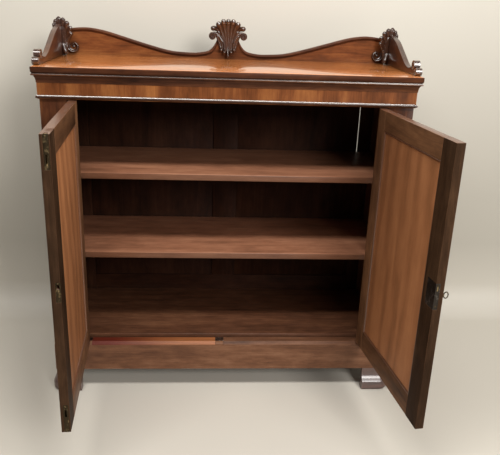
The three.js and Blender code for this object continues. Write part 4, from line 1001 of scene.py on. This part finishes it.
class CHIFFONIER_OT_crest(bpy.types.Operator):
    """Carve the crest: a fan of petals over a reeded shield, with a volute at each side"""

    bl_idname = "chiffonier.crest"
    bl_label = "Crest"

    def execute(self, context):
        sizes = context.scene.chiffonier_carving
        half, height, depth = sizes.crest_half_width, sizes.crest_height, sizes.crest_depth
        base, face = SLAB_HIGH[2], SLAB_HIGH[1] - BOARD_DEPTH - CLEAR

        def place(across, up, out=0.0):
            return Vector((across * half, face - out * depth, base + up * height))

        bm = bmesh.new()
        shield_out = 0.36
        points = [place(x, z) for x, z in SHIELD] + [place(-x, z) for x, z in reversed(SHIELD)]
        raise_face(bm, outline_face(bm, points), (0, -shield_out * depth, 0))
        for root, bend, tip, half_width, out in FAN:
            for side in mirrored(tip):
                line = []
                for share in shares(24):
                    across, up = bowed(root, bend, tip, share)
                    forward = shield_out - 0.12 * math.sin(math.pi * share) + (out - 0.3) * share ** 4
                    line.append(place(side * across, up, forward))
                lobe(bm, line, (0.06 * half, half_width * half), (0.2 * depth, 0.42 * depth), 0.88, 0.06, 20)
        for root, tip, half_width in BEADS:
            for side in mirrored(tip):
                line = []
                for share in shares(12):
                    across, up = straight(root, tip, share)
                    line.append(place(side * across, up, 0.45 + 0.4 * share))
                lobe(bm, line, (0.03 * half, half_width * half), (0.1 * depth, 0.3 * depth), 0.7, 0.08, 16)
        for side in (1, -1):
            add_volute(bm, place(side * VOLUTE[0], VOLUTE[1]), side, depth)
            line = curve_through([place(side * x, z, 0.4) for x, z in ARM], 16)
            petal(bm, line, [0.0085 - 0.0055 * i / 16 for i in range(17)], [0.34 * depth] * len(line))
        tips = base + 0.84 * height
        for polygon in bm.faces:
            polygon.material_index = 1 if polygon.calc_center_median().z > tips else 0
        crest = finish_piece("crest_carving", bm, wood("shell", "Z", 24), slot="carved_mahogany",
                             replaces=["crest"], crease=50)
        crest.data.materials.append(wood("rolled", "Z", 24))
        return {"FINISHED"}


# Each lobe of a corner leaf: root, bend and tip as shares (across, up), half width, and how far forward
LEAF = (((0.76, 0.16), (0.8, 0.55), (0.8, 1.0), 0.24, 0.12),
        ((0.7, 0.18), (0.6, 0.62), (0.44, 0.975), 0.22, 0.2),
        ((0.64, 0.22), (0.44, 0.6), (0.08, 0.89), 0.21, 0.3),
        ((0.6, 0.24), (0.3, 0.5), (-0.2, 0.76), 0.2, 0.36),
        ((0.55, 0.18), (0.25, 0.4), (-0.22, 0.6), 0.17, 0.3),
        ((0.86, 0.2), (0.98, 0.6), (1.06, 0.93), 0.17, 0.2),
        ((0.92, 0.24), (1.08, 0.54), (1.18, 0.84), 0.14, 0.3),
        ((0.96, 0.28), (1.1, 0.46), (1.22, 0.74), 0.12, 0.34))
# The two folds that the leaf stands on: tip, and how far forward. Both start from one root
FOLD_ROOT = (0.72, 0.42)
FOLDS = (((0.3, 0.05), 0.5), ((0.98, 0.05), 0.6))
# The post behind the lobes: its width, how far it stands in from the slab's end and from the leaf's front
POST_WIDTH, POST_INSET, POST_SETBACK = 0.02, 0.0006, 0.004


class CHIFFONIER_OT_corner_leaves(bpy.types.Operator):
    """Carve the leaf that stands in each back corner of the gallery"""

    bl_idname = "chiffonier.corner_leaves"
    bl_label = "Corner Leaves"

    def execute(self, context):
        sizes = context.scene.chiffonier_carving
        width, height = sizes.leaf_width, sizes.leaf_height
        base, back, outer = SLAB_HIGH[2], SLAB_HIGH[1], SLAB_HIGH[0]
        front, inner = back - LEAF_DEPTH, outer - width

        def place(side, across, up, out):
            x = min(inner + across * width, outer + 0.006)
            curl = 0.35 * max(across - 0.8, 0) * width
            return Vector((side * x, front + 0.012 - out * 0.03 - curl, base + up * height))

        for label, side in SIDES:
            bm = bmesh.new()
            post_x = [side * (outer - POST_WIDTH), side * (outer - POST_INSET)]
            post_y = [front + POST_SETBACK, back]
            corners = [(post_x[0], post_y[0]), (post_x[1], post_y[0]),
                       (post_x[1], post_y[1]), (post_x[0], post_y[1])]
            foot = outline_face(bm, [(x, y, base + 0.0002) for x, y in corners])
            raise_face(bm, foot, (0, 0, 0.72 * height))
            for root, bend, tip, half_width, out in LEAF:
                line = [place(side, *bowed(root, bend, tip, share), 0.12 + out * share * share)
                        for share in shares(18)]
                lobe(bm, line, (0.24 * width, half_width * width), (0.0035, 0.0062), 0.9)
            spine = [place(side, 0.56, 0.03 + 0.75 * i / 14, 0.3 - 0.1 * math.sin(math.pi * i / 14))
                     for i in range(15)]
            lobe(bm, spine, (0.4 * width, 0.48 * width), (0.005, 0.006), 0.8)
            for tip, out in FOLDS:
                line = [place(side, *straight(FOLD_ROOT, tip, share), 0.2 + out * share * share)
                        for share in shares(14)]
                lobe(bm, line, (0.12 * width, 0.22 * width), (0.003, 0.007), 0.8)
            place_mesh(f"corner_leaf_carving_{label}", fused(bm, sizes.carving_cell), wood("leaf", "Z", 25),
                       "carcass", [f"corner_leaf_{label}"], crease=80)
        return {"FINISHED"}


def screw(bm, centre, normal, radius, slot, turn):
    """A countersunk screw head with its slot, standing just proud of a face."""
    scratch = bmesh.new()
    bmesh.ops.create_circle(scratch, cap_ends=True, segments=20, radius=radius)
    made = bmesh.ops.extrude_face_region(scratch, geom=list(scratch.faces))["geom"]
    raised = only(made, bmesh.types.BMVert)
    bmesh.ops.translate(scratch, vec=(0, 0, 0.12 * radius), verts=raised)
    bmesh.ops.scale(scratch, vec=(0.86, 0.86, 1), verts=raised)
    for way in (-1, 1):
        bmesh.ops.bisect_plane(scratch, geom=[*scratch.verts, *scratch.edges, *scratch.faces],
                               plane_co=(0, way * slot / 2, 0), plane_no=(0, 1, 0))
    scratch.normal_update()
    middles = [(face, face.calc_center_median()) for face in scratch.faces]
    groove = [face for face, middle in middles if abs(middle.y) < slot / 4 and middle.z > 0.1 * radius]
    sunk = bmesh.ops.extrude_face_region(scratch, geom=groove)["geom"]
    bmesh.ops.delete(scratch, geom=groove, context="FACES_ONLY")
    bmesh.ops.translate(scratch, vec=(0, 0, -0.1 * radius), verts=only(sunk, bmesh.types.BMVert))
    bmesh.ops.recalc_face_normals(scratch, faces=scratch.faces)
    facing = normal.to_track_quat("Z", "Y").to_matrix().to_4x4()
    matrix = Matrix.Translation(centre) @ facing @ Matrix.Rotation(turn, 4, "Z")
    bmesh.ops.transform(scratch, matrix=matrix, verts=scratch.verts)
    mesh = bpy.data.meshes.new("screw")
    scratch.to_mesh(mesh)
    scratch.free()
    bm.from_mesh(mesh)
    bpy.data.meshes.remove(mesh)


# The slot of the smallest screws
SMALL_SLOT = 0.0005
# The front of the ledge's strips, as (out from the stiles' face, up from the ledge) down the plinth's cove
LEDGE_FRONT = ((0.0091, -0.0083), (0.0091, -0.0098), (0.0078, -0.0098), (0.0008, -0.001))
# How far the strip reaches in, the joints between the strips, and the gap below them
STRIP_REACH, STRIP_JOINT, STRIP_LIFT = 0.0225, 0.0006, 0.00002
# The worn plate: where it starts and ends before the strip and behind the stiles' face, and its cut corners
PLATE_X, PLATE_Y, PLATE_NOTCH = (0.0195, 0.0008), (0.002, 0.0205), 0.0016


class CHIFFONIER_OT_ledge(bpy.types.Operator):
    """Lay the thin strip let into the ledge below the left door, with the worn plate at its end"""

    bl_idname = "chiffonier.ledge"
    bl_label = "Ledge Strip"

    def execute(self, context):
        sizes = context.scene.chiffonier_fitting
        keeper_low, keeper_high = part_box("keeper_plate")
        top, thick = keeper_high[2], sizes.strip_thickness
        end = keeper_low[0] - STRIP_JOINT
        start = end - sizes.strip_length
        front = [(0.0014, top + thick), *lifted(LEDGE_FRONT, top), (0.0008, top + STRIP_LIFT)]
        for name, reach, left, right, material in (
                ("ledge_strip", STRIP_REACH, start, end, strip_paint()),
                ("ledge_fillet_left", 0.0, -BODY_HALF, start - STRIP_JOINT, wood("plinth", "X", 16)),
                ("ledge_fillet_right", 0.0, keeper_high[0] + STRIP_JOINT, BODY_HALF,
                 wood("plinth", "X", 17))):
            profile = [(-reach, top + STRIP_LIFT), (-reach, top + thick), *front]
            ends = [axes(Vector((x, FRONT, 0)), -BACK, UP, RIGHT) for x in (left, right)]
            swept(name, profile, ends, material, crease=30)
        # The small worn plate at the strip's left end
        bm = bmesh.new()
        left, right, notch = start - PLATE_X[0], start - PLATE_X[1], PLATE_NOTCH
        near, far = FRONT + PLATE_Y[0], FRONT + PLATE_Y[1]
        corners = [(left + notch, near), (right - notch, near), (right, near + notch), (right, far - notch),
                   (right - notch, far), (left + notch, far), (left, far - notch), (left, near + notch)]
        plate = 1.5 * thick
        raise_face(bm, outline_face(bm, [(x, y, top + STRIP_LIFT) for x, y in corners]), (0, 0, plate))
        bmesh.ops.recalc_face_normals(bm, faces=bm.faces)
        for x in (left + 0.005, right - 0.005):
            screw(bm, Vector((x, (near + far) / 2, top + plate)), UP, 0.0019, SMALL_SLOT, x * 70)
        finish_piece("ledge_plate", bm, metal("iron"), slot="iron", crease=50, recalculate=False)
        return {"FINISHED"}


# A front foot's face, as (out from the case, up from its top), from its neck down to its toe
NECK = ((0.006, 0), (0.006, -0.018), (0.0068, -0.0235), (0.0088, -0.029), (0.0118, -0.0345), (0.0155, -0.039),
        (0.0192, -0.0425), (0.0218, -0.0462))
# How far below the foot's top the toe is widest, and the toe's sole and the height of its rounding
TOE_DROP, SOLE, TOE_ROUND = 0.0515, 0.0165, 0.009


class CHIFFONIER_OT_feet(bpy.types.Operator):
    """Shape the front feet: a cove over a rounded toe, turned round the outer corner"""

    bl_idname = "chiffonier.feet"
    bl_label = "Front Feet"

    def execute(self, context):
        sizes = context.scene.chiffonier_fitting
        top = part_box("foot_front_right")[1][2]
        toe = sizes.foot_toe
        inset = toe - sizes.foot_wall
        neck = [*lifted(NECK, top), (toe, top - TOE_DROP)]
        rounding = quarter(SOLE, 0, toe, TOE_ROUND, 6)[1:]
        profile = [(inset, 0), (SOLE, 0), *rounding, *reversed(neck), (inset, top)]
        for label, side in SIDES:
            axis = Vector((side * (BODY_HALF + inset), FRONT - inset, 0))
            inner = side * (BODY_HALF + toe - sizes.foot_width)
            depth = FRONT - toe + sizes.foot_width
            outward = Vector((side, 0, 0))
            stations = [axes(Vector((inner, FRONT, 0)), -BACK, UP, outward)]
            for share in shares(12):
                angle = math.pi / 2 * share
                out = Vector((side * math.sin(angle), -math.cos(angle), 0))
                ahead = Vector((side * math.cos(angle), math.sin(angle), 0))
                stations.append(axes(axis + out * -inset, out, UP, ahead))
            stations.append(axes(Vector((side * BODY_HALF, depth, 0)), outward, UP, BACK))
            swept(f"front_foot_{label}", profile, stations, wood("foot", "X", 26),
                  replaces=[f"foot_front_{label}"], crease=35)
        return {"FINISHED"}


# The bead round a door panel, as shares of its width and its height
BEAD_SHARES = ((0, 0), (0, 0.7), (0.12, 0.93), (0.32, 1), (0.6, 0.86), (0.82, 0.5), (0.86, 0.3), (1, 0.25),
               (1, 0))


class CHIFFONIER_OT_doors(bpy.types.Operator):
    """Finish the doors and run a mitred bead round the inside of each panel"""

    bl_idname = "chiffonier.doors"
    bl_label = "Doors"

    def execute(self, context):
        soft = context.scene.chiffonier_finish.door_edge_softness
        sizes = context.scene.chiffonier_fitting
        near, far = HINGE_STILE, DOOR_WIDTH - MEETING_STILE
        profile = [(u * sizes.bead_width, v * sizes.bead_height) for u, v in BEAD_SHARES]
        for number, (label, side) in enumerate(SIDES):
            body = f"{label}_door"
            rail_log = 34 + number
            satin = (wood("satin", "X", rail_log, body), UP)
            outside = door_place(body).to_3x3() @ -BACK
            for part, look, axis, log, slot, top in (
                    ("hinge_stile", "door", "Z", 30 + number, "door_mahogany", satin),
                    ("meeting_stile", "edge", "Z", 32 + number, "door_mahogany", satin),
                    ("top_rail", "door", "X", rail_log, "door_mahogany", satin),
                    ("bottom_rail", "door", "X", rail_log, "door_mahogany", ()),
                    ("panel", "panel", "Z", 36 + number, "panel_mahogany", ())):
                carry([f"{body}_{part}"], wood(look, axis, log, body), slot, soft, *top)
                refinish(f"{body}_{part}", outside, wood("front", axis, 40 + number, body))
            corners = [Vector((side * (DOOR_EDGE - across), FRONT + PANEL_SEAT, z)) for across, z in
                       ((near, PANEL_LOW), (far, PANEL_LOW), (far, PANEL_HIGH), (near, PANEL_HIGH))]
            middle = sum(corners, Vector()) / 4
            bm = bmesh.new()
            for i, start in enumerate(corners):
                end = corners[(i + 1) % 4]
                ahead = (end - start).normalized()
                inward = BACK.cross(ahead)
                if inward.dot(middle - start) < 0:
                    inward = -inward
                mitres = [axes(start, inward + ahead, BACK, ahead), axes(end, inward - ahead, BACK, ahead)]
                sweep(bm, profile, mitres)
            bmesh.ops.transform(bm, matrix=door_place(body), verts=bm.verts)
            finish_piece(f"{body}_bead", bm, wood("satin", "Z", 38 + number, body), body, "door_mahogany",
                         crease=50)
        return {"FINISHED"}


# How far the hinges' screws stand off their leaves
SCREW_LIFT = 0.00002
# In a hinge leaf: height from its middle and depth behind the stiles' face
HINGE_SCREWS = ((-0.0225, 0.0125), (0, 0.0075), (0.0225, 0.0125))


def meeting_screws(side):
    """The screws of a door's meeting edge: height, depth behind the door's face, radius and turn."""
    if side > 0:
        low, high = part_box("lock_case")
        return [(z, 0.017, 0.0024, z * 30) for z in (low[2] + 0.009, high[2] - 0.0045)]
    # Each flush bolt's plate has a screw near the door's end and one farther from it
    near, far = 0.006, 0.074
    plates = [(z, 0.0135, 0.0024, z * 40)
              for z in (DOOR_HIGH - far, DOOR_HIGH - near, DOOR_LOW + far, DOOR_LOW + near)]
    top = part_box("strike_plate")[1][2]
    return plates + [(z, 0.017, 0.0022, z * 30) for z in (top - 0.003, top - 0.045)]


class CHIFFONIER_OT_brass(bpy.types.Operator):
    """Finish the hinges, bolts, lock and plates, and set their screws"""

    bl_idname = "chiffonier.brass"
    bl_label = "Brass and Iron"

    def execute(self, context):
        soft = context.scene.chiffonier_finish.metal_edge_softness
        sizes = context.scene.chiffonier_fitting
        plates = ["strike_plate", "flush_plate_upper", "flush_plate_lower", "flush_bolt_lower", "escutcheon"]
        hinges = [f"hinge_{kind}_{label}_{place}" for kind in ("fixed", "moving") for label, _ in SIDES
                  for place in ("lower", "upper")]
        carry(plates + hinges, metal("brass"), "brass", soft)
        carry(["flush_bolt_upper", "lock_bolt"], metal("brass", rubbed=True), "brass", soft)
        carry(["keeper_plate"], metal("iron", rubbed=True), "iron", soft)
        carry(["lock_case"], metal("iron"), "iron", soft)
        radius, slot = sizes.screw_radius, sizes.screw_slot
        for label, side in SIDES:
            body = f"{label}_door"
            inward, outward = Vector((-side, 0, 0)), Vector((side, 0, 0))
            case_screws, door_screws = bmesh.new(), bmesh.new()
            for place in ("lower", "upper"):
                low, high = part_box(f"hinge_fixed_{label}_{place}")
                middle = (low[2] + high[2]) / 2
                for i, (rise, behind) in enumerate(HINGE_SCREWS):
                    y, z = FRONT + behind, middle + rise
                    fixed = Vector((side * (OPENING_EDGE - SCREW_LIFT), y, z))
                    screw(case_screws, fixed, inward, radius, slot, 0.5 + i)
                    moving = Vector((side * (DOOR_EDGE + SCREW_LIFT), y, z))
                    screw(door_screws, moving, outward, radius, slot, 1.1 + i)
            meeting = side * (DOOR_EDGE - DOOR_WIDTH)
            for z, behind, small, turn in meeting_screws(side):
                screw(door_screws, Vector((meeting, FRONT + behind, z)), inward, small, slot, turn)
            bmesh.ops.transform(door_screws, matrix=door_place(body), verts=door_screws.verts)
            finish_piece(f"hinge_screws_case_{label}", case_screws, metal("brass"), "carcass", "brass")
            finish_piece(f"hinge_screws_door_{label}", door_screws, metal("brass"), body, "brass")
        low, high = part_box("keeper_plate")
        keeper = bmesh.new()
        for x in (low[0] + 0.004, low[0] + 0.0105):
            screw(keeper, Vector((x, FRONT + 0.019, high[2])), UP, 0.0018, SMALL_SLOT, x * 90)
        finish_piece("keeper_screws", keeper, metal("iron"), "carcass", "iron")
        return {"FINISHED"}


# The key: its place from the shut door's meeting edge, its height, and how far in front the bow stands
KEY_INSET, KEY_HEIGHT, BOW_REACH = 0.027, 0.553, 0.0225
# The bow's half sizes in depth and in height, and the half thicknesses of its band
BOW_DEPTH, BOW_HEIGHT, BAND_WIDE, BAND_THICK = 0.006, 0.0084, 0.0015, 0.0013
# The collared stem, as (radius, along from its start), and its plain end, as (radius, along from its end)
COLLAR = ((0.0016, 0), (0.0034, 0.0004), (0.0036, 0.0012), (0.0034, 0.002), (0.0025, 0.0026),
          (0.0031, 0.0034), (0.0031, 0.0042), (0.0025, 0.0048))
STEM_END = ((0.0025, -0.0006), (0.0019, 0))
STEM_START, STEM_REACH = 0.0062, 0.0205
# The bit, as (along from its back edge, up from its foot): a blade with one notch
BIT = ((0, 0.0075), (0, 0), (0.0014, 0), (0.0014, 0.0032), (0.0024, 0.0032), (0.0024, 0), (0.0055, 0),
       (0.0055, 0.0075))
# How far the bit's foot lies below the stem's middle, and half the bit's thickness
BIT_DROP, BIT_HALF = 0.009, 0.001


class CHIFFONIER_OT_key(bpy.types.Operator):
    """Make the key: an oval bow, a collared stem and a notched bit"""

    bl_idname = "chiffonier.key"
    bl_label = "Key"

    def execute(self, context):
        stem_x, stem_z = DOOR_EDGE - (DOOR_WIDTH - KEY_INSET), KEY_HEIGHT
        bow_y = FRONT - BOW_REACH
        bm = bmesh.new()
        stations = []
        for share in shares(40):
            angle = 2 * math.pi * share
            out = Vector((0, math.cos(angle) * BOW_DEPTH, math.sin(angle) * BOW_HEIGHT))
            ahead = Vector((0, -math.sin(angle) * BOW_DEPTH, math.cos(angle) * BOW_HEIGHT)).normalized()
            across = ahead.cross(RIGHT).normalized()
            place = Vector((stem_x, bow_y, stem_z)) + out
            stations.append(axes(place, across * BAND_WIDE, RIGHT * BAND_THICK, ahead))
        sweep(bm, circle(12), stations)
        start, end = bow_y + STEM_START, FRONT + STEM_REACH
        line = lifted(COLLAR, start) + lifted(STEM_END, end)
        rim = [bm.verts.new((stem_x + radius, y, stem_z)) for radius, y in line]
        spine = [bm.edges.new(pair) for pair in zip(rim, rim[1:])]
        bmesh.ops.spin(bm, geom=rim + spine, cent=(stem_x, 0, stem_z), axis=(0, 1, 0), angle=2 * math.pi,
                       steps=20, use_merge=True)
        bmesh.ops.holes_fill(bm, edges=[edge for edge in bm.edges if edge.is_boundary])
        back, foot = end - BIT[-1][0], stem_z - BIT_DROP
        blade = outline_face(bm, [(stem_x - BIT_HALF, back + along, foot + up) for along, up in BIT])
        raise_face(bm, blade, (2 * BIT_HALF, 0, 0))
        bmesh.ops.transform(bm, matrix=door_place("right_door"), verts=bm.verts)
        finish_piece("key_turned", bm, metal("brass"), "key", "brass", ["key"], crease=40)
        return {"FINISHED"}


# The floor reaches so far forward and to each side, and the backdrop so far up
FLOOR_REACH, BACKDROP_HIGH = 5.0, 4.0
LAMP_TINT, ROOM_TINT = (1.0, 0.975, 0.94), (1.0, 0.97, 0.93, 1)


def backdrop_mesh(sizes):
    """The floor and the backdrop in one sheet, with a bend between them."""
    bm = bmesh.new()
    bend, wall = sizes.backdrop_bend, sizes.backdrop_distance
    angles = [math.pi / 2 * i / 16 for i in range(1, 17)]
    turn = [(wall - bend + bend * math.sin(a), bend - bend * math.cos(a)) for a in angles]
    line = [(-FLOOR_REACH, 0.0), (wall - bend, 0.0), *turn, (wall, BACKDROP_HIGH)]
    verts = [bm.verts.new((-FLOOR_REACH, y, z)) for y, z in line]
    edges = [bm.edges.new(pair) for pair in zip(verts, verts[1:])]
    made = bmesh.ops.extrude_edge_only(bm, edges=edges)["geom"]
    bmesh.ops.translate(bm, vec=(2 * FLOOR_REACH, 0, 0), verts=only(made, bmesh.types.BMVert))
    bmesh.ops.recalc_face_normals(bm, faces=bm.faces)
    bm.faces.ensure_lookup_table()
    if bm.faces[0].normal.z < 0:
        bmesh.ops.reverse_faces(bm, faces=bm.faces)
    mesh = bpy.data.meshes.new("floor")
    bm.to_mesh(mesh)
    bm.free()
    mesh.shade_smooth()
    return mesh


def floor_paper(sizes):
    """Pale paper, with painted shade low on the backdrop and out to the sides, and clear from behind."""
    material, tree, place = new_material("floor_paper")
    cloud = spread(tree, noise(tree, place, (1.5, 1.5, 1.5), 3), 0.3, 0.7)
    plain = mix(tree, cloud, tuple(c * 0.96 for c in sizes.floor_colour), tuple(sizes.floor_colour))
    apart = node(tree, "ShaderNodeSeparateXYZ", {"Vector": place}).outputs
    # Painted shade: the paper takes the shade colour out to both sides and where the backdrop rises
    aside = spread(tree, maths(tree, "ABSOLUTE", apart["X"], 0.0), 0.6, 1.4, 0.0, 0.4)
    shade = maths(tree, "MULTIPLY", spread(tree, apart["Z"], 0.0, 0.3), spread(tree, apart["Z"], 1.5, 0.5))
    base = mix(tree, maths(tree, "MAXIMUM", shade, aside), plain, tuple(sizes.backdrop_shade_colour))
    shader = node(tree, "ShaderNodeBsdfPrincipled", {"Base Color": base, "Roughness": 0.55})
    # Seen from behind, the backdrop is clear, so that it doesn't hide the chiffonier's back
    behind = node(tree, "ShaderNodeNewGeometry").outputs["Backfacing"]
    clear = node(tree, "ShaderNodeBsdfTransparent").outputs[0]
    show(tree, node(tree, "ShaderNodeMixShader", {0: behind, 1: shader.outputs[0], 2: clear}))
    return material


def stage_lamp(name, place, aim, across, along, power):
    """A lamp with an oblong face, aimed at a point."""
    lamp = bpy.data.lights.new(name, "AREA")
    lamp.energy = power
    lamp.shape = "RECTANGLE"
    lamp.size = across
    lamp.size_y = along
    lamp.color = LAMP_TINT
    holder = bpy.data.objects.new(name, lamp)
    holder.location = place
    holder.rotation_euler = (Vector(aim) - Vector(place)).to_track_quat("-Z", "Y").to_euler()
    bpy.context.scene.collection.objects.link(holder)


def stage_camera(sizes):
    """The camera, turned right, dropped and leaned as the photograph's was."""
    turn, drop, roll = sizes.camera_turn, sizes.camera_drop, sizes.camera_roll
    ahead = Vector((math.sin(turn) * math.cos(drop), math.cos(turn) * math.cos(drop), -math.sin(drop)))
    right = Vector((math.cos(turn), -math.sin(turn), 0))
    up = right.cross(ahead)
    leaned_right = right * math.cos(roll) + up * math.sin(roll)
    leaned_up = up * math.cos(roll) - right * math.sin(roll)
    lens = bpy.data.cameras.new("camera")
    lens.sensor_width = 36
    lens.lens = sizes.camera_lens
    camera = bpy.data.objects.new("camera", lens)
    camera.matrix_world = axes(Vector(sizes.camera_place), leaned_right, leaned_up, -ahead)
    bpy.context.scene.collection.objects.link(camera)
    bpy.context.scene.camera = camera


class CHIFFONIER_OT_stage(bpy.types.Operator):
    """Set the floor, the backdrop, the lamps and the camera"""

    bl_idname = "chiffonier.stage"
    bl_label = "Stage"

    def execute(self, context):
        scene = context.scene
        sizes = scene.chiffonier_stage
        mesh = backdrop_mesh(sizes)
        floor = bpy.data.objects.new("floor", mesh)
        scene.collection.objects.link(floor)
        mesh.materials.append(floor_paper(sizes))
        stage_lamp("strip_lamp", (0.0, -1.25, 2.9), (0.0, 0.0, 0.6), 2.8, 0.4, sizes.lamp_power)
        stage_lamp("side_lamp", (1.5, -3.5, 2.4), (0, 0, 0.5), 1.2, 1.2, sizes.fill_power)
        world = bpy.data.worlds.new("room")
        world.use_nodes = True
        background = world.node_tree.nodes["Background"]
        background.inputs["Color"].default_value = ROOM_TINT
        background.inputs["Strength"].default_value = sizes.sky_strength
        scene.world = world
        scene.view_settings.view_transform = "Standard"
        stage_camera(sizes)
        return {"FINISHED"}


STEPS = (
    CHIFFONIER_OT_case,
    CHIFFONIER_OT_cornice,
    CHIFFONIER_OT_gallery,
    CHIFFONIER_OT_gallery_sides,
    CHIFFONIER_OT_crest,
    CHIFFONIER_OT_corner_leaves,
    CHIFFONIER_OT_ledge,
    CHIFFONIER_OT_feet,
    CHIFFONIER_OT_doors,
    CHIFFONIER_OT_brass,
    CHIFFONIER_OT_key,
    CHIFFONIER_OT_stage,
)


class CHIFFONIER_PT_panel(bpy.types.Panel):
    """Lists the chiffonier's steps"""

    bl_idname = "CHIFFONIER_PT_panel"
    bl_label = "Chiffonier"
    bl_space_type = "VIEW_3D"
    bl_region_type = "UI"
    bl_category = "Chiffonier"

    def draw(self, context):
        for step in STEPS:
            self.layout.operator(step.bl_idname)


SETTINGS = (
    ("chiffonier_finish", FinishSettings),
    ("chiffonier_carving", CarvingSettings),
    ("chiffonier_fitting", FittingSettings),
    ("chiffonier_stage", StageSettings),
)


def register():
    for name, settings in SETTINGS:
        bpy.utils.register_class(settings)
        setattr(bpy.types.Scene, name, PointerProperty(type=settings))
    for made in (*STEPS, CHIFFONIER_PT_panel):
        bpy.utils.register_class(made)


def unregister():
    for made in (CHIFFONIER_PT_panel, *reversed(STEPS)):
        bpy.utils.unregister_class(made)
    for name, settings in reversed(SETTINGS):
        delattr(bpy.types.Scene, name)
        bpy.utils.unregister_class(settings)


def main():
    register()
    for step in STEPS:
        family, label = step.bl_idname.split(".")
        getattr(getattr(bpy.ops, family), label)()


if __name__ == "__main__":
    main()
